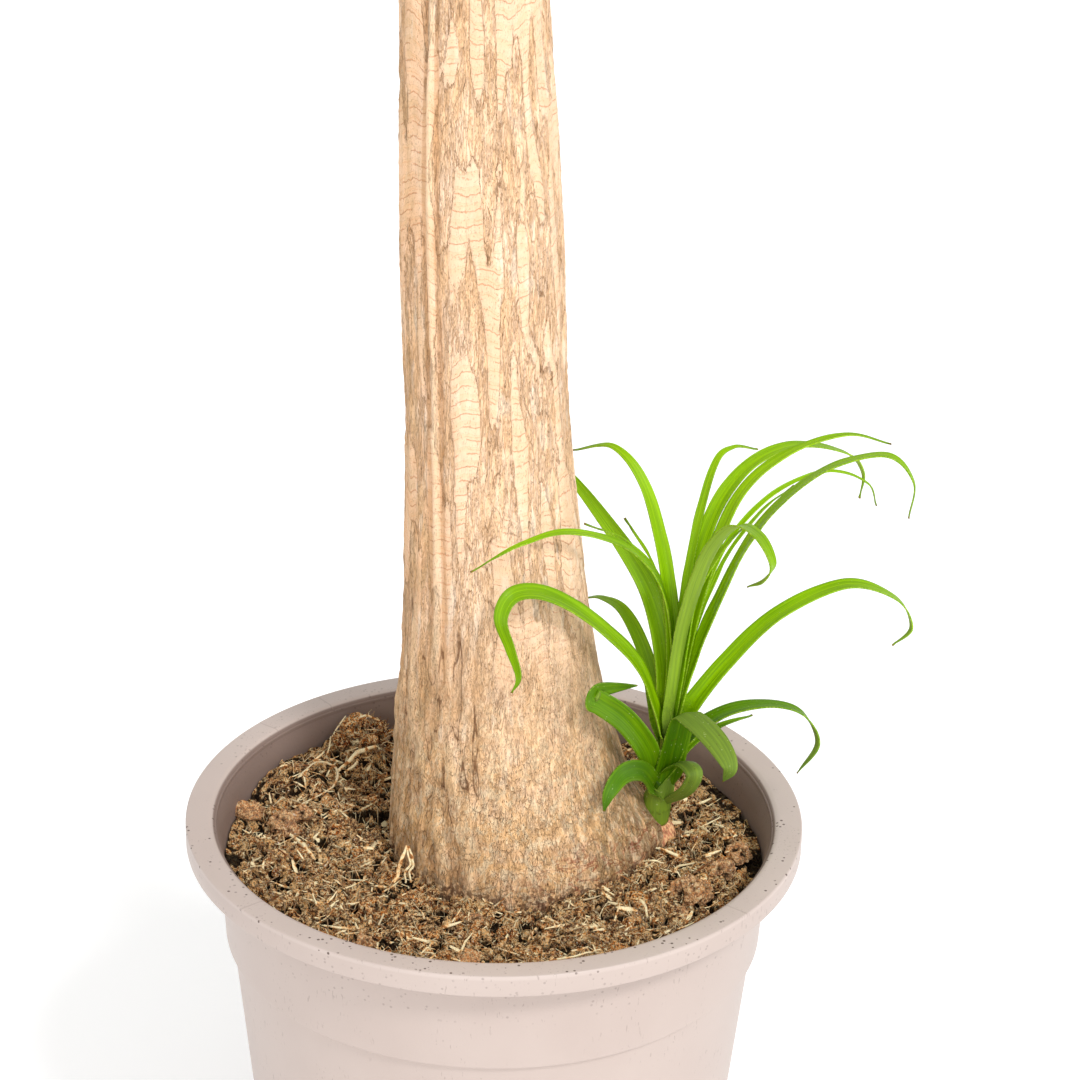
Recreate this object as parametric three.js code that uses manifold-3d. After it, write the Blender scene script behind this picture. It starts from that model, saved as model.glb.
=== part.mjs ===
// A ponytail palm in a plastic pot: a tall corky trunk that swells where it enters the soil, a fountain of
// narrow arching leaves on its top, and a young side shoot on the right of the swelling.
// Millimetres, +Z up. The origin is the centre of the pot's underside, and the viewer stands on the -Y side.

import * as THREE from "three";
import { mergeVertices } from "three/addons/utils/BufferGeometryUtils.js";
import Module from "manifold-3d";

const wasm = await Module();
wasm.setup();

// ---------------------------------------------------------------- driving dimensions

const GAP = 0.3; // clearance between pieces that touch

const pot = {
  height: 250,
  baseRadius: 109,
  stepHeight: 187, // where the wall steps outwards
  radiusBelowStep: 128.3,
  radiusAboveStep: 131.5,
  radiusUnderRim: 134.5,
  wall: 2.2,
  rimRadius: 150,
  rimInnerRadius: 138.5, // inner edge of the rim's flat top
  rimDrop: 11, // height of the band that hangs from the rim's outer edge
  rimRounding: 2.2,
  floor: 2.5,
  padRadius: 72, // flat disc in the middle of the underside
  drainRise: 3, // the ring with the drain holes stands this much higher
  drainRingInner: 76,
  drainRingOuter: 98,
  drainHoles: 8,
  drainHoleRadius: 6,
  facets: 56,
};

const soil = {
  level: 228, // mean height of the surface
  rings: 13,
  facets: 44,
};

// One station for each change of the trunk's taper: height, radius, and how far the axis leans along X.
const trunkStations = [
  { z: 158, radius: 50, x: 13 },
  { z: 190, radius: 63, x: 13 },
  { z: 228, radius: 66, x: 12.5 },
  { z: 268, radius: 56.5, x: 6 },
  { z: 312, radius: 49.5, x: 1.5 },
  { z: 376, radius: 43, x: -2 },
  { z: 459, radius: 38.5, x: -6.5 },
  { z: 558, radius: 37.2, x: -11 },
  { z: 651, radius: 33.6, x: -14.5 },
  { z: 800, radius: 31, x: -18.5 },
  { z: 930, radius: 29.5, x: -20.5 },
  { z: 1050, radius: 28, x: -21 },
];
const trunk = {
  y: 20, // the trunk stands a little behind the pot's centre
  bottom: trunkStations[0].z,
  top: trunkStations[trunkStations.length - 1].z,
  smoothBelow: 240, // the bark's relief fades out where the soil touches the trunk
  relief: 1.2,
  swelling: 6, // the lump on the right that carries the side shoot
  swellingHeight: 13,
  swellingAngle: 0.36,
  facets: 30,
  rings: 40,
};

const shoot = {
  foot: new THREE.Vector3(79, 20, 232),
  lean: 0.11, // sideways per unit of height
  stemLength: 62,
  footRadius: 5.2,
  bellyRadius: 7,
  topRadius: 4.6,
  seatDepth: 9, // how deep the stem stands in the trunk
  leafThickness: 1.1,
  bluntness: 2.6, // of the leaves that give none of their own
  segments: 11,
};

// Each leaf of the side shoot springs from the stem and stays in one upright plane, whose heading is given in
// degrees from +X. Its blade is rolled about its spine by the degrees given at its foot and at its tip, and a higher
// bluntness keeps it broad for longer. The spine is a smooth curve through a few points: [out from the stem, up
// from its foot].
const shootLeaves = [
  {
    heading: -60,
    width: 11.5,
    bluntness: 2.4,
    roll: [40, -50],
    spine: [
      [0, 44], [2, 75], [9, 115], [25, 157], [46, 182], [66, 186], [79, 177], [73, 166], [60, 157],
    ],
  },
  {
    heading: -20,
    width: 8.6,
    roll: [60, -25],
    spine: [
      [0, 46], [5, 76], [18, 120], [38, 168], [66, 202], [97, 217], [112, 206], [111, 187],
    ],
  },
  {
    heading: 8,
    width: 7.2,
    roll: [62, -10],
    spine: [
      [0, 50], [3, 84], [13, 134], [28, 178], [50, 199], [78, 208], [101, 202],
    ],
  },
  {
    heading: 30,
    width: 7.6,
    roll: [55, -20],
    spine: [
      [0, 50], [4, 86], [13, 150], [32, 183], [62, 193], [94, 183], [106, 170], [105, 156],
    ],
  },
  {
    heading: 20,
    width: 2.6,
    roll: [60, 14],
    spine: [
      [0, 52], [8, 104], [22, 146], [46, 173], [76, 182], [98, 173], [104, 160],
    ],
  },
  {
    heading: 35,
    width: 2.4,
    roll: [52, 12],
    spine: [
      [0, 52], [9, 96], [26, 135], [48, 158], [70, 168],
    ],
  },
  {
    heading: 30,
    width: 4.4,
    roll: [55, 12],
    spine: [
      [0, 54], [2, 100], [8, 151], [18, 191], [29, 199], [43, 195],
    ],
  },
  {
    heading: 140,
    width: 7.2,
    roll: [-49, -11],
    spine: [
      [0, 50], [0, 92], [7, 140], [21, 178], [41, 193], [66, 184],
    ],
  },
  {
    heading: 135,
    width: 11,
    roll: [-45, -10],
    spine: [
      [0, 46], [4, 84], [15, 119], [36, 141], [69, 164], [88, 172],
    ],
  },
  {
    heading: 215,
    width: 5.2,
    roll: [-52, -11],
    spine: [
      [0, 50], [1, 92], [9, 133], [30, 160], [64, 177], [93, 178], [120, 171],
    ],
  },
  {
    heading: 195,
    width: 2.2,
    roll: [-62, -14],
    spine: [
      [0, 52], [1, 105], [9, 138], [26, 159], [47, 170],
    ],
  },
  {
    heading: 120,
    width: 1.8,
    roll: [-32, -7],
    spine: [
      [0, 52], [7, 108], [21, 134], [49, 148],
    ],
  },
  {
    heading: 218,
    width: 9,
    bluntness: 3.2,
    roll: [-58, -20],
    spine: [
      [0, 38], [8, 60], [23, 96], [50, 127], [79, 150],
      [99, 156], [107, 146], [101, 128], [96, 112], [100, 105],
    ],
  },
  {
    heading: 128,
    width: 7.6,
    roll: [-39, -9],
    spine: [
      [0, 38], [12, 62], [21, 86], [38, 103], [56, 104], [70, 98],
    ],
  },
  {
    heading: 228,
    width: 11.5,
    bluntness: 5,
    roll: [-105, -60],
    spine: [
      [0, 14], [7, 30], [17, 50], [36, 73], [56, 92], [61, 96], [54, 96], [38, 90], [24, 84],
    ],
  },
  {
    heading: -65,
    width: 11.5,
    bluntness: 6,
    roll: [30, 18],
    spine: [
      [0, 16], [-1, 34], [2, 54], [8, 68], [22, 71], [46, 70], [60, 64], [56, 54],
    ],
  },
  {
    heading: -15,
    width: 9.2,
    bluntness: 3,
    roll: [64, -60],
    spine: [
      [0, 20], [8, 48], [24, 66], [46, 75], [64, 73], [73, 58], [66, 40],
    ],
  },
  {
    heading: 20,
    width: 4,
    roll: [60, 13],
    spine: [
      [0, 24], [12, 43], [28, 52], [44, 55],
    ],
  },
  {
    heading: 5,
    width: 8.6,
    bluntness: 3,
    roll: [66, -25],
    spine: [
      [0, 42], [8, 65], [26, 91], [50, 116], [82, 131], [107, 123], [116, 107], [107, 97],
    ],
  },
  {
    heading: -60,
    width: 7.6,
    bluntness: 4,
    roll: [32, 7],
    spine: [
      [0, 12], [4, 31], [15, 43], [26, 42], [22, 31], [10, 20], [0, 12],
    ],
  },
  {
    heading: 240,
    width: 10,
    bluntness: 5,
    roll: [-110, -25],
    spine: [
      [0, 12], [10, 28], [26, 43], [46, 51], [58, 47], [62, 38],
    ],
  },
  {
    heading: -12,
    width: 6.6,
    roll: [62, 14],
    spine: [
      [0, 48], [3, 84], [9, 128], [20, 152], [30, 166],
    ],
  },
];

// The crown's leaves run from the oldest, at the foot of the core, to the youngest at its middle. Slopes are
// degrees above the horizontal.
const crown = {
  leaves: 92,
  coreRadius: 27,
  coreHeight: 52,
  turn: 137.508, // degrees from one leaf to the next
  width: 12.5,
  keel: 1.7, // depth of the three-sided blade
  length: { oldest: 470, youngest: 330 },
  footSlope: { oldest: 8, youngest: 84, scatter: 6 },
  tipSlope: { oldest: -74, youngest: -38, scatter: 12 },
  bending: 1.5, // above 1 the leaf bends more towards its tip
  bluntness: 2.6,
  sway: 24, // most that a leaf turns sideways
  segments: 8,
};

const colours = {
  pot: 0xcdbdb6,
  soil: 0x5a3c28,
  bark: 0xd9b88c,
  youngLeaf: 0x5faa14,
  crownLeaf: 0x3f7d1e,
};

// ---------------------------------------------------------------- shared shape tools

const radians = THREE.MathUtils.degToRad;
const lerp = THREE.MathUtils.lerp;
const smoothstep = THREE.MathUtils.smoothstep;

// A repeatable draw between 0 and 1 for a counter.
function draw(counter) {
  const wave = Math.sin(counter * 12.9898) * 43758.5453;
  return wave - Math.floor(wave);
}

function toSolid(geometry) {
  geometry.deleteAttribute("normal");
  geometry.deleteAttribute("uv");
  const merged = mergeVertices(geometry, 1e-5);
  return new wasm.Manifold(
    new wasm.Mesh({
      numProp: 3,
      vertProperties: new Float32Array(merged.attributes.position.array),
      triVerts: new Uint32Array(merged.index.array),
    }),
  );
}

function toMesh(name, solid, colour, roughness) {
  const result = solid.getMesh();
  const geometry = new THREE.BufferGeometry();
  geometry.setAttribute("position", new THREE.BufferAttribute(result.vertProperties, 3));
  geometry.setIndex(new THREE.BufferAttribute(result.triVerts, 1));
  geometry.computeVertexNormals();
  const material = new THREE.MeshStandardMaterial({ color: colour, roughness, metalness: 0 });
  const mesh = new THREE.Mesh(geometry, material);
  mesh.name = name;
  return mesh;
}

// Joins solids into one and keeps only its outer skin: trapped hollows are filled and loose scraps dropped.
function fuse(solids) {
  const whole = solids.reduce((sum, piece) => sum.add(piece));
  const shells = whole.decompose();
  return shells.reduce((best, shell) => (shell.volume() > best.volume() ? shell : best));
}

// A lathe turned about Z: profile points are [radius, height], counter-clockwise from the axis's lower end.
function lathe(profile, facets) {
  const points = profile.map(([radius, height]) => new THREE.Vector2(radius, height));
  return new THREE.LatheGeometry(points, facets).rotateX(Math.PI / 2);
}

function moveVertices(geometry, move) {
  const position = geometry.attributes.position;
  const point = new THREE.Vector3();
  for (let i = 0; i < position.count; i += 1) {
    point.fromBufferAttribute(position, i);
    move(point);
    position.setXYZ(i, point.x, point.y, point.z);
  }
  return geometry;
}

// A closed skin over rings of equally many points, each ring counter-clockwise about the way the rings go. The
// first ring is closed by a fan and the last by a point.
function loft(rings, tip) {
  const sides = rings[0].length;
  const points = [...rings.flat(), tip];
  const faces = [];
  for (let k = 1; k < sides - 1; k += 1) {
    faces.push(0, k + 1, k);
  }
  for (let ring = 0; ring < rings.length - 1; ring += 1) {
    for (let k = 0; k < sides; k += 1) {
      const a = ring * sides + k;
      const b = ring * sides + ((k + 1) % sides);
      // The split runs alike over the upper and the lower face, so that a thin twisted blade stays whole.
      if (k < sides / 2) {
        faces.push(a, b, a + sides, b, b + sides, a + sides);
      } else {
        faces.push(a, b, b + sides, a, b + sides, a + sides);
      }
    }
  }
  const last = (rings.length - 1) * sides;
  for (let k = 0; k < sides; k += 1) {
    faces.push(last + k, last + ((k + 1) % sides), points.length - 1);
  }
  const geometry = new THREE.BufferGeometry().setFromPoints(points);
  geometry.setIndex(faces);
  return geometry;
}

// How wide a leaf is along its length, as a share of its full width: clasping at the foot, long fine tip.
function leafBreadth(along, bluntness) {
  return lerp(0.8, 1, smoothstep(along, 0, 0.25)) * (1 - along ** bluntness) + 0.05;
}

// A strap leaf along a curve: a shallow channel above, a keel below. The upper face looks back to the stem, and
// is rolled about the spine by an angle that may change along the leaf.
function leafSolid({ curve, heading, width, bluntness, thickness, segments, flat, roll }) {
  const rings = [];
  const level = new THREE.Vector3(-Math.sin(heading), Math.cos(heading), 0);
  for (let i = 0; i < segments; i += 1) {
    const along = i / segments;
    const centre = curve.getPoint(along);
    const forward = curve.getTangent(along);
    const across = level.clone().applyAxisAngle(forward, roll(along));
    const above = new THREE.Vector3().crossVectors(forward, across).normalize();
    const half = (width * leafBreadth(along, bluntness)) / 2;
    const lift = half * 0.35 * (1 - along);
    const place = (side, rise) => centre.clone().addScaledVector(across, side).addScaledVector(above, rise);
    const ring = flat
      ? [place(-half, 0), place(0, -thickness), place(half, 0)]
      : [place(-half, lift), place(0, -thickness / 2), place(half, lift), place(0, thickness / 2)];
    rings.push(ring);
  }
  return toSolid(loft(rings, curve.getPoint(1)));
}

// ---------------------------------------------------------------- pot

function potInnerRadius(z) {
  if (z < pot.stepHeight) {
    return lerp(pot.baseRadius, pot.radiusBelowStep, z / pot.stepHeight) - pot.wall;
  }
  const upperWall = pot.height - pot.rimDrop - pot.stepHeight;
  return lerp(pot.radiusAboveStep, pot.radiusUnderRim, (z - pot.stepHeight) / upperWall) - pot.wall;
}

function makePot() {
  const rimBottom = pot.height - pot.rimDrop;
  const underRim = pot.height - pot.wall;
  const round = pot.rimRounding;
  const drainFloor = pot.floor + pot.drainRise;
  const profile = [
    [0, 0],
    [pot.padRadius, 0],
    [pot.drainRingInner, pot.drainRise],
    [pot.drainRingOuter, pot.drainRise],
    [pot.drainRingOuter + 3, 0],
    [pot.baseRadius - 1, 0],
    [pot.baseRadius, 1],
    [pot.radiusBelowStep, pot.stepHeight],
    [pot.radiusAboveStep, pot.stepHeight + 1.5],
    [pot.radiusUnderRim, rimBottom],
    [pot.radiusUnderRim + 0.6, underRim],
    [pot.rimRadius - pot.wall - 0.4, underRim],
    [pot.rimRadius - pot.wall, rimBottom],
    [pot.rimRadius, rimBottom],
    [pot.rimRadius, pot.height - round],
    [pot.rimRadius - round * 0.3, pot.height - round * 0.3],
    [pot.rimRadius - round, pot.height],
    [pot.rimInnerRadius, pot.height],
    [pot.rimInnerRadius - round, pot.height - round * 0.5],
    [potInnerRadius(rimBottom) + 1, rimBottom + 3],
    [potInnerRadius(rimBottom), rimBottom - 2],
    [potInnerRadius(pot.stepHeight + 1), pot.stepHeight + 1],
    [potInnerRadius(pot.stepHeight - 2), pot.stepHeight - 2],
    [potInnerRadius(drainFloor), drainFloor],
    [pot.drainRingInner - pot.floor, drainFloor],
    [pot.padRadius - pot.floor, pot.floor],
    [0, pot.floor],
  ];
  let body = toSolid(lathe(profile, pot.facets));
  const holeRing = (pot.drainRingInner + pot.drainRingOuter) / 2;
  for (let i = 0; i < pot.drainHoles; i += 1) {
    const angle = (i / pot.drainHoles) * 2 * Math.PI;
    const drill = new THREE.CylinderGeometry(pot.drainHoleRadius, pot.drainHoleRadius, 4 * pot.floor, 12)
      .rotateX(Math.PI / 2)
      .translate(holeRing * Math.cos(angle), holeRing * Math.sin(angle), drainFloor - pot.floor / 2);
    body = body.subtract(toSolid(drill));
  }
  return toMesh("pot", body, colours.pot, 0.38);
}

// ---------------------------------------------------------------- trunk

const trunkAxis = new THREE.CatmullRomCurve3(
  trunkStations.map(({ z, radius, x }) => new THREE.Vector3(radius, x, z)),
  false,
  "catmullrom",
);

// The trunk's radius and lean at a height.
function trunkAt(z) {
  let low = 0;
  let high = 1;
  for (let i = 0; i < 30; i += 1) {
    const middle = (low + high) / 2;
    if (trunkAxis.getPoint(middle).z < z) {
      low = middle;
    } else {
      high = middle;
    }
  }
  const { x: radius, y: lean } = trunkAxis.getPoint(low);
  return { radius, lean };
}

function trunkRadius(z, angle) {
  const { radius } = trunkAt(z);
  const fromShoot = Math.atan2(Math.sin(angle), Math.cos(angle)) / trunk.swellingAngle;
  const fromLump = (z - shoot.foot.z) / trunk.swellingHeight;
  const lump = trunk.swelling * Math.exp(-fromShoot * fromShoot - fromLump * fromLump);
  const lobes = 0.025 * radius * Math.sin(3 * angle + 1.1) * (1 - smoothstep(z, 240, 420));
  return radius + lump + lobes;
}

// Ridges and furrows of the bark, which run up the trunk and wander a little.
function barkRelief(z, angle) {
  const wander = 1.3 * Math.sin(z / 71) + 0.7 * Math.sin(z / 29);
  const ridges = 0.6 * Math.sin(9 * angle + wander) + 0.4 * Math.sin(14 * angle - z / 47 + wander);
  return trunk.relief * ridges * smoothstep(z, trunk.smoothBelow - 8, trunk.smoothBelow + 22);
}

function trunkSolid(clearance, withBark) {
  const heights = [];
  for (let i = 0; i <= trunk.rings; i += 1) {
    const share = i / trunk.rings;
    heights.push(lerp(trunk.bottom - clearance, trunk.top, share ** 1.25));
  }
  const profile = [[0, trunk.bottom - clearance], ...heights.map((z) => [1, z]), [0, trunk.top]];
  const geometry = moveVertices(lathe(profile, trunk.facets), (point) => {
    const angle = Math.atan2(point.y, point.x);
    const off = Math.hypot(point.x, point.y);
    const grown = trunkRadius(point.z, angle) + clearance + (withBark ? barkRelief(point.z, angle) : 0);
    point.x = off * grown * Math.cos(angle) + trunkAt(point.z).lean;
    point.y = off * grown * Math.sin(angle) + trunk.y;
  });
  return toSolid(geometry);
}

function stemSolid(clearance) {
  const { lean, stemLength, footRadius, bellyRadius, topRadius, seatDepth } = shoot;
  const profile = [
    [0, -seatDepth - clearance],
    [footRadius + clearance, -seatDepth - clearance],
    [footRadius + clearance, 0],
    [bellyRadius + clearance, stemLength * 0.35],
    [bellyRadius + clearance, stemLength * 0.6],
    [topRadius + clearance, stemLength],
    [0, stemLength + 6],
  ];
  const geometry = moveVertices(lathe(profile, 12), (point) => {
    point.x += shoot.foot.x + lean * point.z;
    point.y += shoot.foot.y;
    point.z += shoot.foot.z;
  });
  return toSolid(geometry);
}

function makeTrunk() {
  const body = trunkSolid(0, true).subtract(stemSolid(GAP));
  return toMesh("trunk", body, colours.bark, 0.85);
}

// ---------------------------------------------------------------- soil

// Mounds of the soil's surface, and hollows where the height is below zero.
const clods = [
  { x: -98, y: 62, size: 26, height: 11 },
  { x: -96, y: -20, size: 15, height: 6 },
  { x: -70, y: -66, size: 22, height: 4 },
  { x: 98, y: -28, size: 17, height: 7 },
  { x: 112, y: 4, size: 13, height: 5 },
  { x: 66, y: -70, size: 20, height: 4 },
  { x: 10, y: -72, size: 30, height: -4 },
  { x: -62, y: 66, size: 16, height: -9 },
  { x: 84, y: 74, size: 22, height: 5 },
  { x: -20, y: 112, size: 24, height: 4 },
  { x: -72, y: 104, size: 19, height: 13 },
];

function soilHeight(x, y) {
  const fromCentre = Math.hypot(x, y) / potInnerRadius(soil.level);
  let height = soil.level - 3 * (1 - fromCentre * fromCentre);
  for (const clod of clods) {
    const away = Math.hypot(x - clod.x, y - clod.y) / clod.size;
    height += clod.height * Math.exp(-away * away);
  }
  height += 1.3 * Math.sin(x / 6.1 + 1.7 * Math.sin(y / 9.3)) * Math.cos(y / 7.4 + 0.8 * Math.sin(x / 11));
  return height;
}

function makeSoil() {
  const bottom = pot.floor + pot.drainRise + GAP;
  const edge = (z) => potInnerRadius(z) - GAP;
  const profile = [
    [0, bottom],
    [edge(bottom), bottom],
    [edge(pot.stepHeight - 2), pot.stepHeight - 2],
    [edge(pot.stepHeight + 1), pot.stepHeight + 1],
    [edge(soil.level - 8), soil.level - 8],
  ];
  for (let ring = soil.rings; ring >= 0; ring -= 1) {
    profile.push([(edge(soil.level - 8) * ring) / soil.rings, soil.level]);
  }
  const geometry = moveVertices(lathe(profile, soil.facets), (point) => {
    if (point.z === soil.level) {
      point.z = soilHeight(point.x, point.y);
    }
  });
  const body = toSolid(geometry).subtract(trunkSolid(GAP, false)).subtract(stemSolid(GAP));
  return toMesh("soil", fuse([body]), colours.soil, 0.95);
}

// ---------------------------------------------------------------- side shoot

function shootSpine({ heading, spine }) {
  const angle = radians(heading);
  const points = spine.map(([out, up]) => {
    const along = Math.min(up, shoot.stemLength);
    return new THREE.Vector3(
      shoot.foot.x + shoot.lean * along + out * Math.cos(angle),
      shoot.foot.y + out * Math.sin(angle),
      shoot.foot.z + up,
    );
  });
  return new THREE.CatmullRomCurve3(points, false, "catmullrom");
}

function makeShoot() {
  const leaves = shootLeaves.map((leaf) => {
    const heading = radians(leaf.heading);
    return leafSolid({
      curve: shootSpine(leaf),
      heading,
      width: leaf.width,
      bluntness: leaf.bluntness ?? shoot.bluntness,
      thickness: shoot.leafThickness,
      segments: Math.max(shoot.segments, 2 * leaf.spine.length),
      flat: false,
      roll: (along) => radians(lerp(...leaf.roll, along)),
    });
  });
  return toMesh("side_shoot", fuse([stemSolid(0), ...leaves]), colours.youngLeaf, 0.42);
}

// ---------------------------------------------------------------- crown

// The spine of crown leaf number i: it leaves the core at a slope that steepens from the oldest leaf to the
// youngest, and then bends down under its own weight.
function crownSpine(i) {
  const youth = i / (crown.leaves - 1);
  const heading = radians(i * crown.turn);
  const between = ({ oldest, youngest }) => lerp(oldest, youngest, youth);
  const scatter = (range, series) => range * (2 * draw(i + series) - 1);
  const length = between(crown.length) * (1 + scatter(0.13, 1));
  const footSlope = radians(between(crown.footSlope) + scatter(crown.footSlope.scatter, 201));
  const tipSlope = radians(between(crown.tipSlope) + scatter(crown.tipSlope.scatter, 401));
  const sway = radians(scatter(crown.sway, 601));
  const { lean } = trunkAt(trunk.top);
  const reach = crown.coreRadius * 0.72 * Math.sqrt(1 - youth);
  const point = new THREE.Vector3(
    lean + reach * Math.cos(heading),
    trunk.y + reach * Math.sin(heading),
    trunk.top + 5 + (crown.coreHeight - 14) * youth,
  );
  const points = [point.clone()];
  const steps = 24;
  for (let step = 0; step < steps; step += 1) {
    const along = (step + 0.5) / steps;
    const slope = lerp(footSlope, tipSlope, along ** crown.bending);
    const turned = heading + sway * along * along;
    point.x += (length / steps) * Math.cos(slope) * Math.cos(turned);
    point.y += (length / steps) * Math.cos(slope) * Math.sin(turned);
    point.z += (length / steps) * Math.sin(slope);
    points.push(point.clone());
  }
  return { curve: new THREE.CatmullRomCurve3(points, false, "catmullrom"), heading };
}

function makeCrown() {
  const { lean } = trunkAt(trunk.top);
  const foot = trunk.top + GAP;
  const core = lathe(
    [
      [0, 0],
      [crown.coreRadius * 0.94, 0],
      [crown.coreRadius, crown.coreHeight * 0.25],
      [crown.coreRadius * 0.8, crown.coreHeight * 0.6],
      [crown.coreRadius * 0.42, crown.coreHeight * 0.9],
      [0, crown.coreHeight],
    ],
    16,
  ).translate(lean, trunk.y, foot);
  const solids = [toSolid(core)];
  for (let i = 0; i < crown.leaves; i += 1) {
    const { curve, heading } = crownSpine(i);
    solids.push(
      leafSolid({
        curve,
        heading,
        width: crown.width * lerp(0.85, 1.1, draw(i + 801)),
        bluntness: crown.bluntness,
        thickness: crown.keel,
        segments: crown.segments,
        flat: true,
        roll: () => 0,
      }),
    );
  }
  return toMesh("crown", fuse(solids), colours.crownLeaf, 0.5);
}

// ---------------------------------------------------------------- the plant

const plant = new THREE.Group();
plant.name = "potted_ponytail_palm";
plant.add(makePot(), makeSoil(), makeTrunk(), makeShoot(), makeCrown());

export default plant;
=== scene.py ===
import math
from types import SimpleNamespace

import bmesh
import bpy
from mathutils import Euler, Matrix, Vector, noise


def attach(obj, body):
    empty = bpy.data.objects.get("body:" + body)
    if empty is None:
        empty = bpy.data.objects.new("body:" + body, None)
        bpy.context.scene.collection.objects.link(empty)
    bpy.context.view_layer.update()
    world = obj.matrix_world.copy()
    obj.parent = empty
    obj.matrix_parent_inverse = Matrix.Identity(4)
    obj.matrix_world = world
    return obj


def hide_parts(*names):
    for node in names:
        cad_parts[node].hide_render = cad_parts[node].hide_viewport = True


# A ponytail palm in a plastic pot. Lengths are written in millimetres and scaled by MM. +Z is up, the origin
# is the centre of the pot's underside, and the viewer stands on the -Y side.

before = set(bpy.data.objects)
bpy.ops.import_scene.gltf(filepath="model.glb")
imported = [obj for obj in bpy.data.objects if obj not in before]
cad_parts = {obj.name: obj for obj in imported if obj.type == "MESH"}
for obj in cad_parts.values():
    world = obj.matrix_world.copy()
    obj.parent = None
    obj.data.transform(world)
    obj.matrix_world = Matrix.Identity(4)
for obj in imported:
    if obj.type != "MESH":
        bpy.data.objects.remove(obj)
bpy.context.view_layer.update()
MM = 0.001

# Without a seed, noise vectors follow the clock, and every run would give another bark and soil.
noise.seed_set(7)


# ---------------------------------------------------------------- measures

POT_HEIGHT = 250
POT_BASE_RADIUS = 109
POT_WALL = 2.2
STEP_HEIGHT = 187
RADIUS_BELOW_STEP = 128.3
RADIUS_ABOVE_STEP = 131.5
RADIUS_UNDER_RIM = 134.5
RIM_RADIUS = 150
RIM_INNER_RADIUS = 138.5
RIM_DROP = 11
RIM_BOTTOM = POT_HEIGHT - RIM_DROP
POT_FLOOR = 2.5
PAD_RADIUS = 72
DRAIN_RISE = 3
DRAIN_RING_INNER = 76
DRAIN_RING_OUTER = 98
DRAIN_RING_MIDDLE = 87
DRAIN_HOLES = 8
DRAIN_HOLE_RADIUS = 6

SOIL_LEVEL = 228
# How far from the pot's middle loose bits may lie.
SOIL_REACH = 124
CRUMBS = 1700
FLAKES = 2300
SMALL_LUMPS = 70
SPLINTERS = 3000
HEAP_SPLINTERS = 240
CURLY_ROOTS = 420
COARSE_STRAWS = 120
WOOD_CHIPS = 260
TUFT_ROOTLETS = 6

TRUNK_Y = 20
# Height, radius and lean along X wherever the trunk's taper changes.
TRUNK_STATIONS = [
    (158, 50, 13),
    (190, 63, 13),
    (228, 66, 12.5),
    (268, 56.5, 6),
    (312, 49.5, 1.5),
    (376, 43, -2),
    (459, 38.5, -6.5),
    (558, 37.2, -11),
    (651, 33.6, -14.5),
    (800, 31, -18.5),
    (930, 29.5, -20.5),
    (1050, 28, -21),
]
TRUNK_BOTTOM = TRUNK_STATIONS[0][0]
TRUNK_TOP = TRUNK_STATIONS[-1][0]

SHOOT_FOOT = Vector((79, 20, 232))
SHOOT_LEAN = 0.11
STEM_LENGTH = 62
LEAF_THICKNESS = 0.7
SHEATH_THICKNESS = 0.5

CROWN_LEAVES = 92
CROWN_LEAF_WIDTH = 12.5
CROWN_CORE_RADIUS = 27
CROWN_CORE_HEIGHT = 52
GOLDEN_TURN = 137.508


# ---------------------------------------------------------------- small maths

def lerp(a, b, share):
    return a + (b - a) * share


def clamp(value, low=0.0, high=1.0):
    return max(low, min(high, value))


def smoothstep(value, low, high):
    share = clamp((value - low) / (high - low))
    return share * share * (3 - 2 * share)


def draw(counter):
    """A repeatable draw between 0 and 1. Each use shifts its counter by an amount of its own."""
    wave = math.sin(counter * 12.9898) * 43758.5453
    return wave - math.floor(wave)


def scatter(counter, amount=1.0):
    """A repeatable draw between -amount and amount."""
    return amount * (2 * draw(counter) - 1)


class SmoothCurve:
    """A smooth curve through its points, read by a share of its length in spans from 0 to 1."""

    def __init__(self, points):
        self.points = [Vector(p) for p in points]
        before = 2 * self.points[0] - self.points[1]
        after = 2 * self.points[-1] - self.points[-2]
        self.ring = [before, *self.points, after]

    def at(self, share):
        spans = len(self.points) - 1
        place = clamp(share) * spans
        i = min(int(place), spans - 1)
        t = place - i
        p0, p1, p2, p3 = self.ring[i : i + 4]
        leave = (p2 - p0) / 2
        arrive = (p3 - p1) / 2
        bend = 2 * p1 - 2 * p2 + leave + arrive
        swing = 3 * p2 - 3 * p1 - 2 * leave - arrive
        return ((bend * t + swing) * t + leave) * t + p1

    def direction(self, share):
        step = 0.002
        return (self.at(share + step) - self.at(share - step)).normalized()


# ---------------------------------------------------------------- pieces

def new_piece(name, bm, finishes, replaces=(), smooth=True):
    """Turns a bmesh in millimetres into a piece that rides on the plant."""
    bmesh.ops.scale(bm, vec=(MM, MM, MM), verts=bm.verts)
    mesh = bpy.data.meshes.new(name)
    bm.to_mesh(mesh)
    bm.free()
    if smooth:
        mesh.shade_smooth()
    else:
        mesh.shade_flat()
    piece = bpy.data.objects.new(name, mesh)
    bpy.context.scene.collection.objects.link(piece)
    for finish in finishes:
        mesh.materials.append(finish)
    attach(piece, "root")
    if replaces:
        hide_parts(*replaces)
    return piece


def turned(bm, profile, sides):
    """Spins a profile of (radius, height) points about Z. Points on the axis close to one pole."""
    verts = [bm.verts.new((radius, 0, height)) for radius, height in profile]
    edges = [bm.edges.new(pair) for pair in zip(verts, verts[1:])]
    bmesh.ops.spin(
        bm, geom=verts + edges, axis=(0, 0, 1), cent=(0, 0, 0), angle=2 * math.pi, steps=sides, use_merge=True
    )
    bmesh.ops.remove_doubles(bm, verts=bm.verts, dist=1e-4)
    bmesh.ops.recalc_face_normals(bm, faces=bm.faces)


# ---------------------------------------------------------------- shader tools

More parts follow.
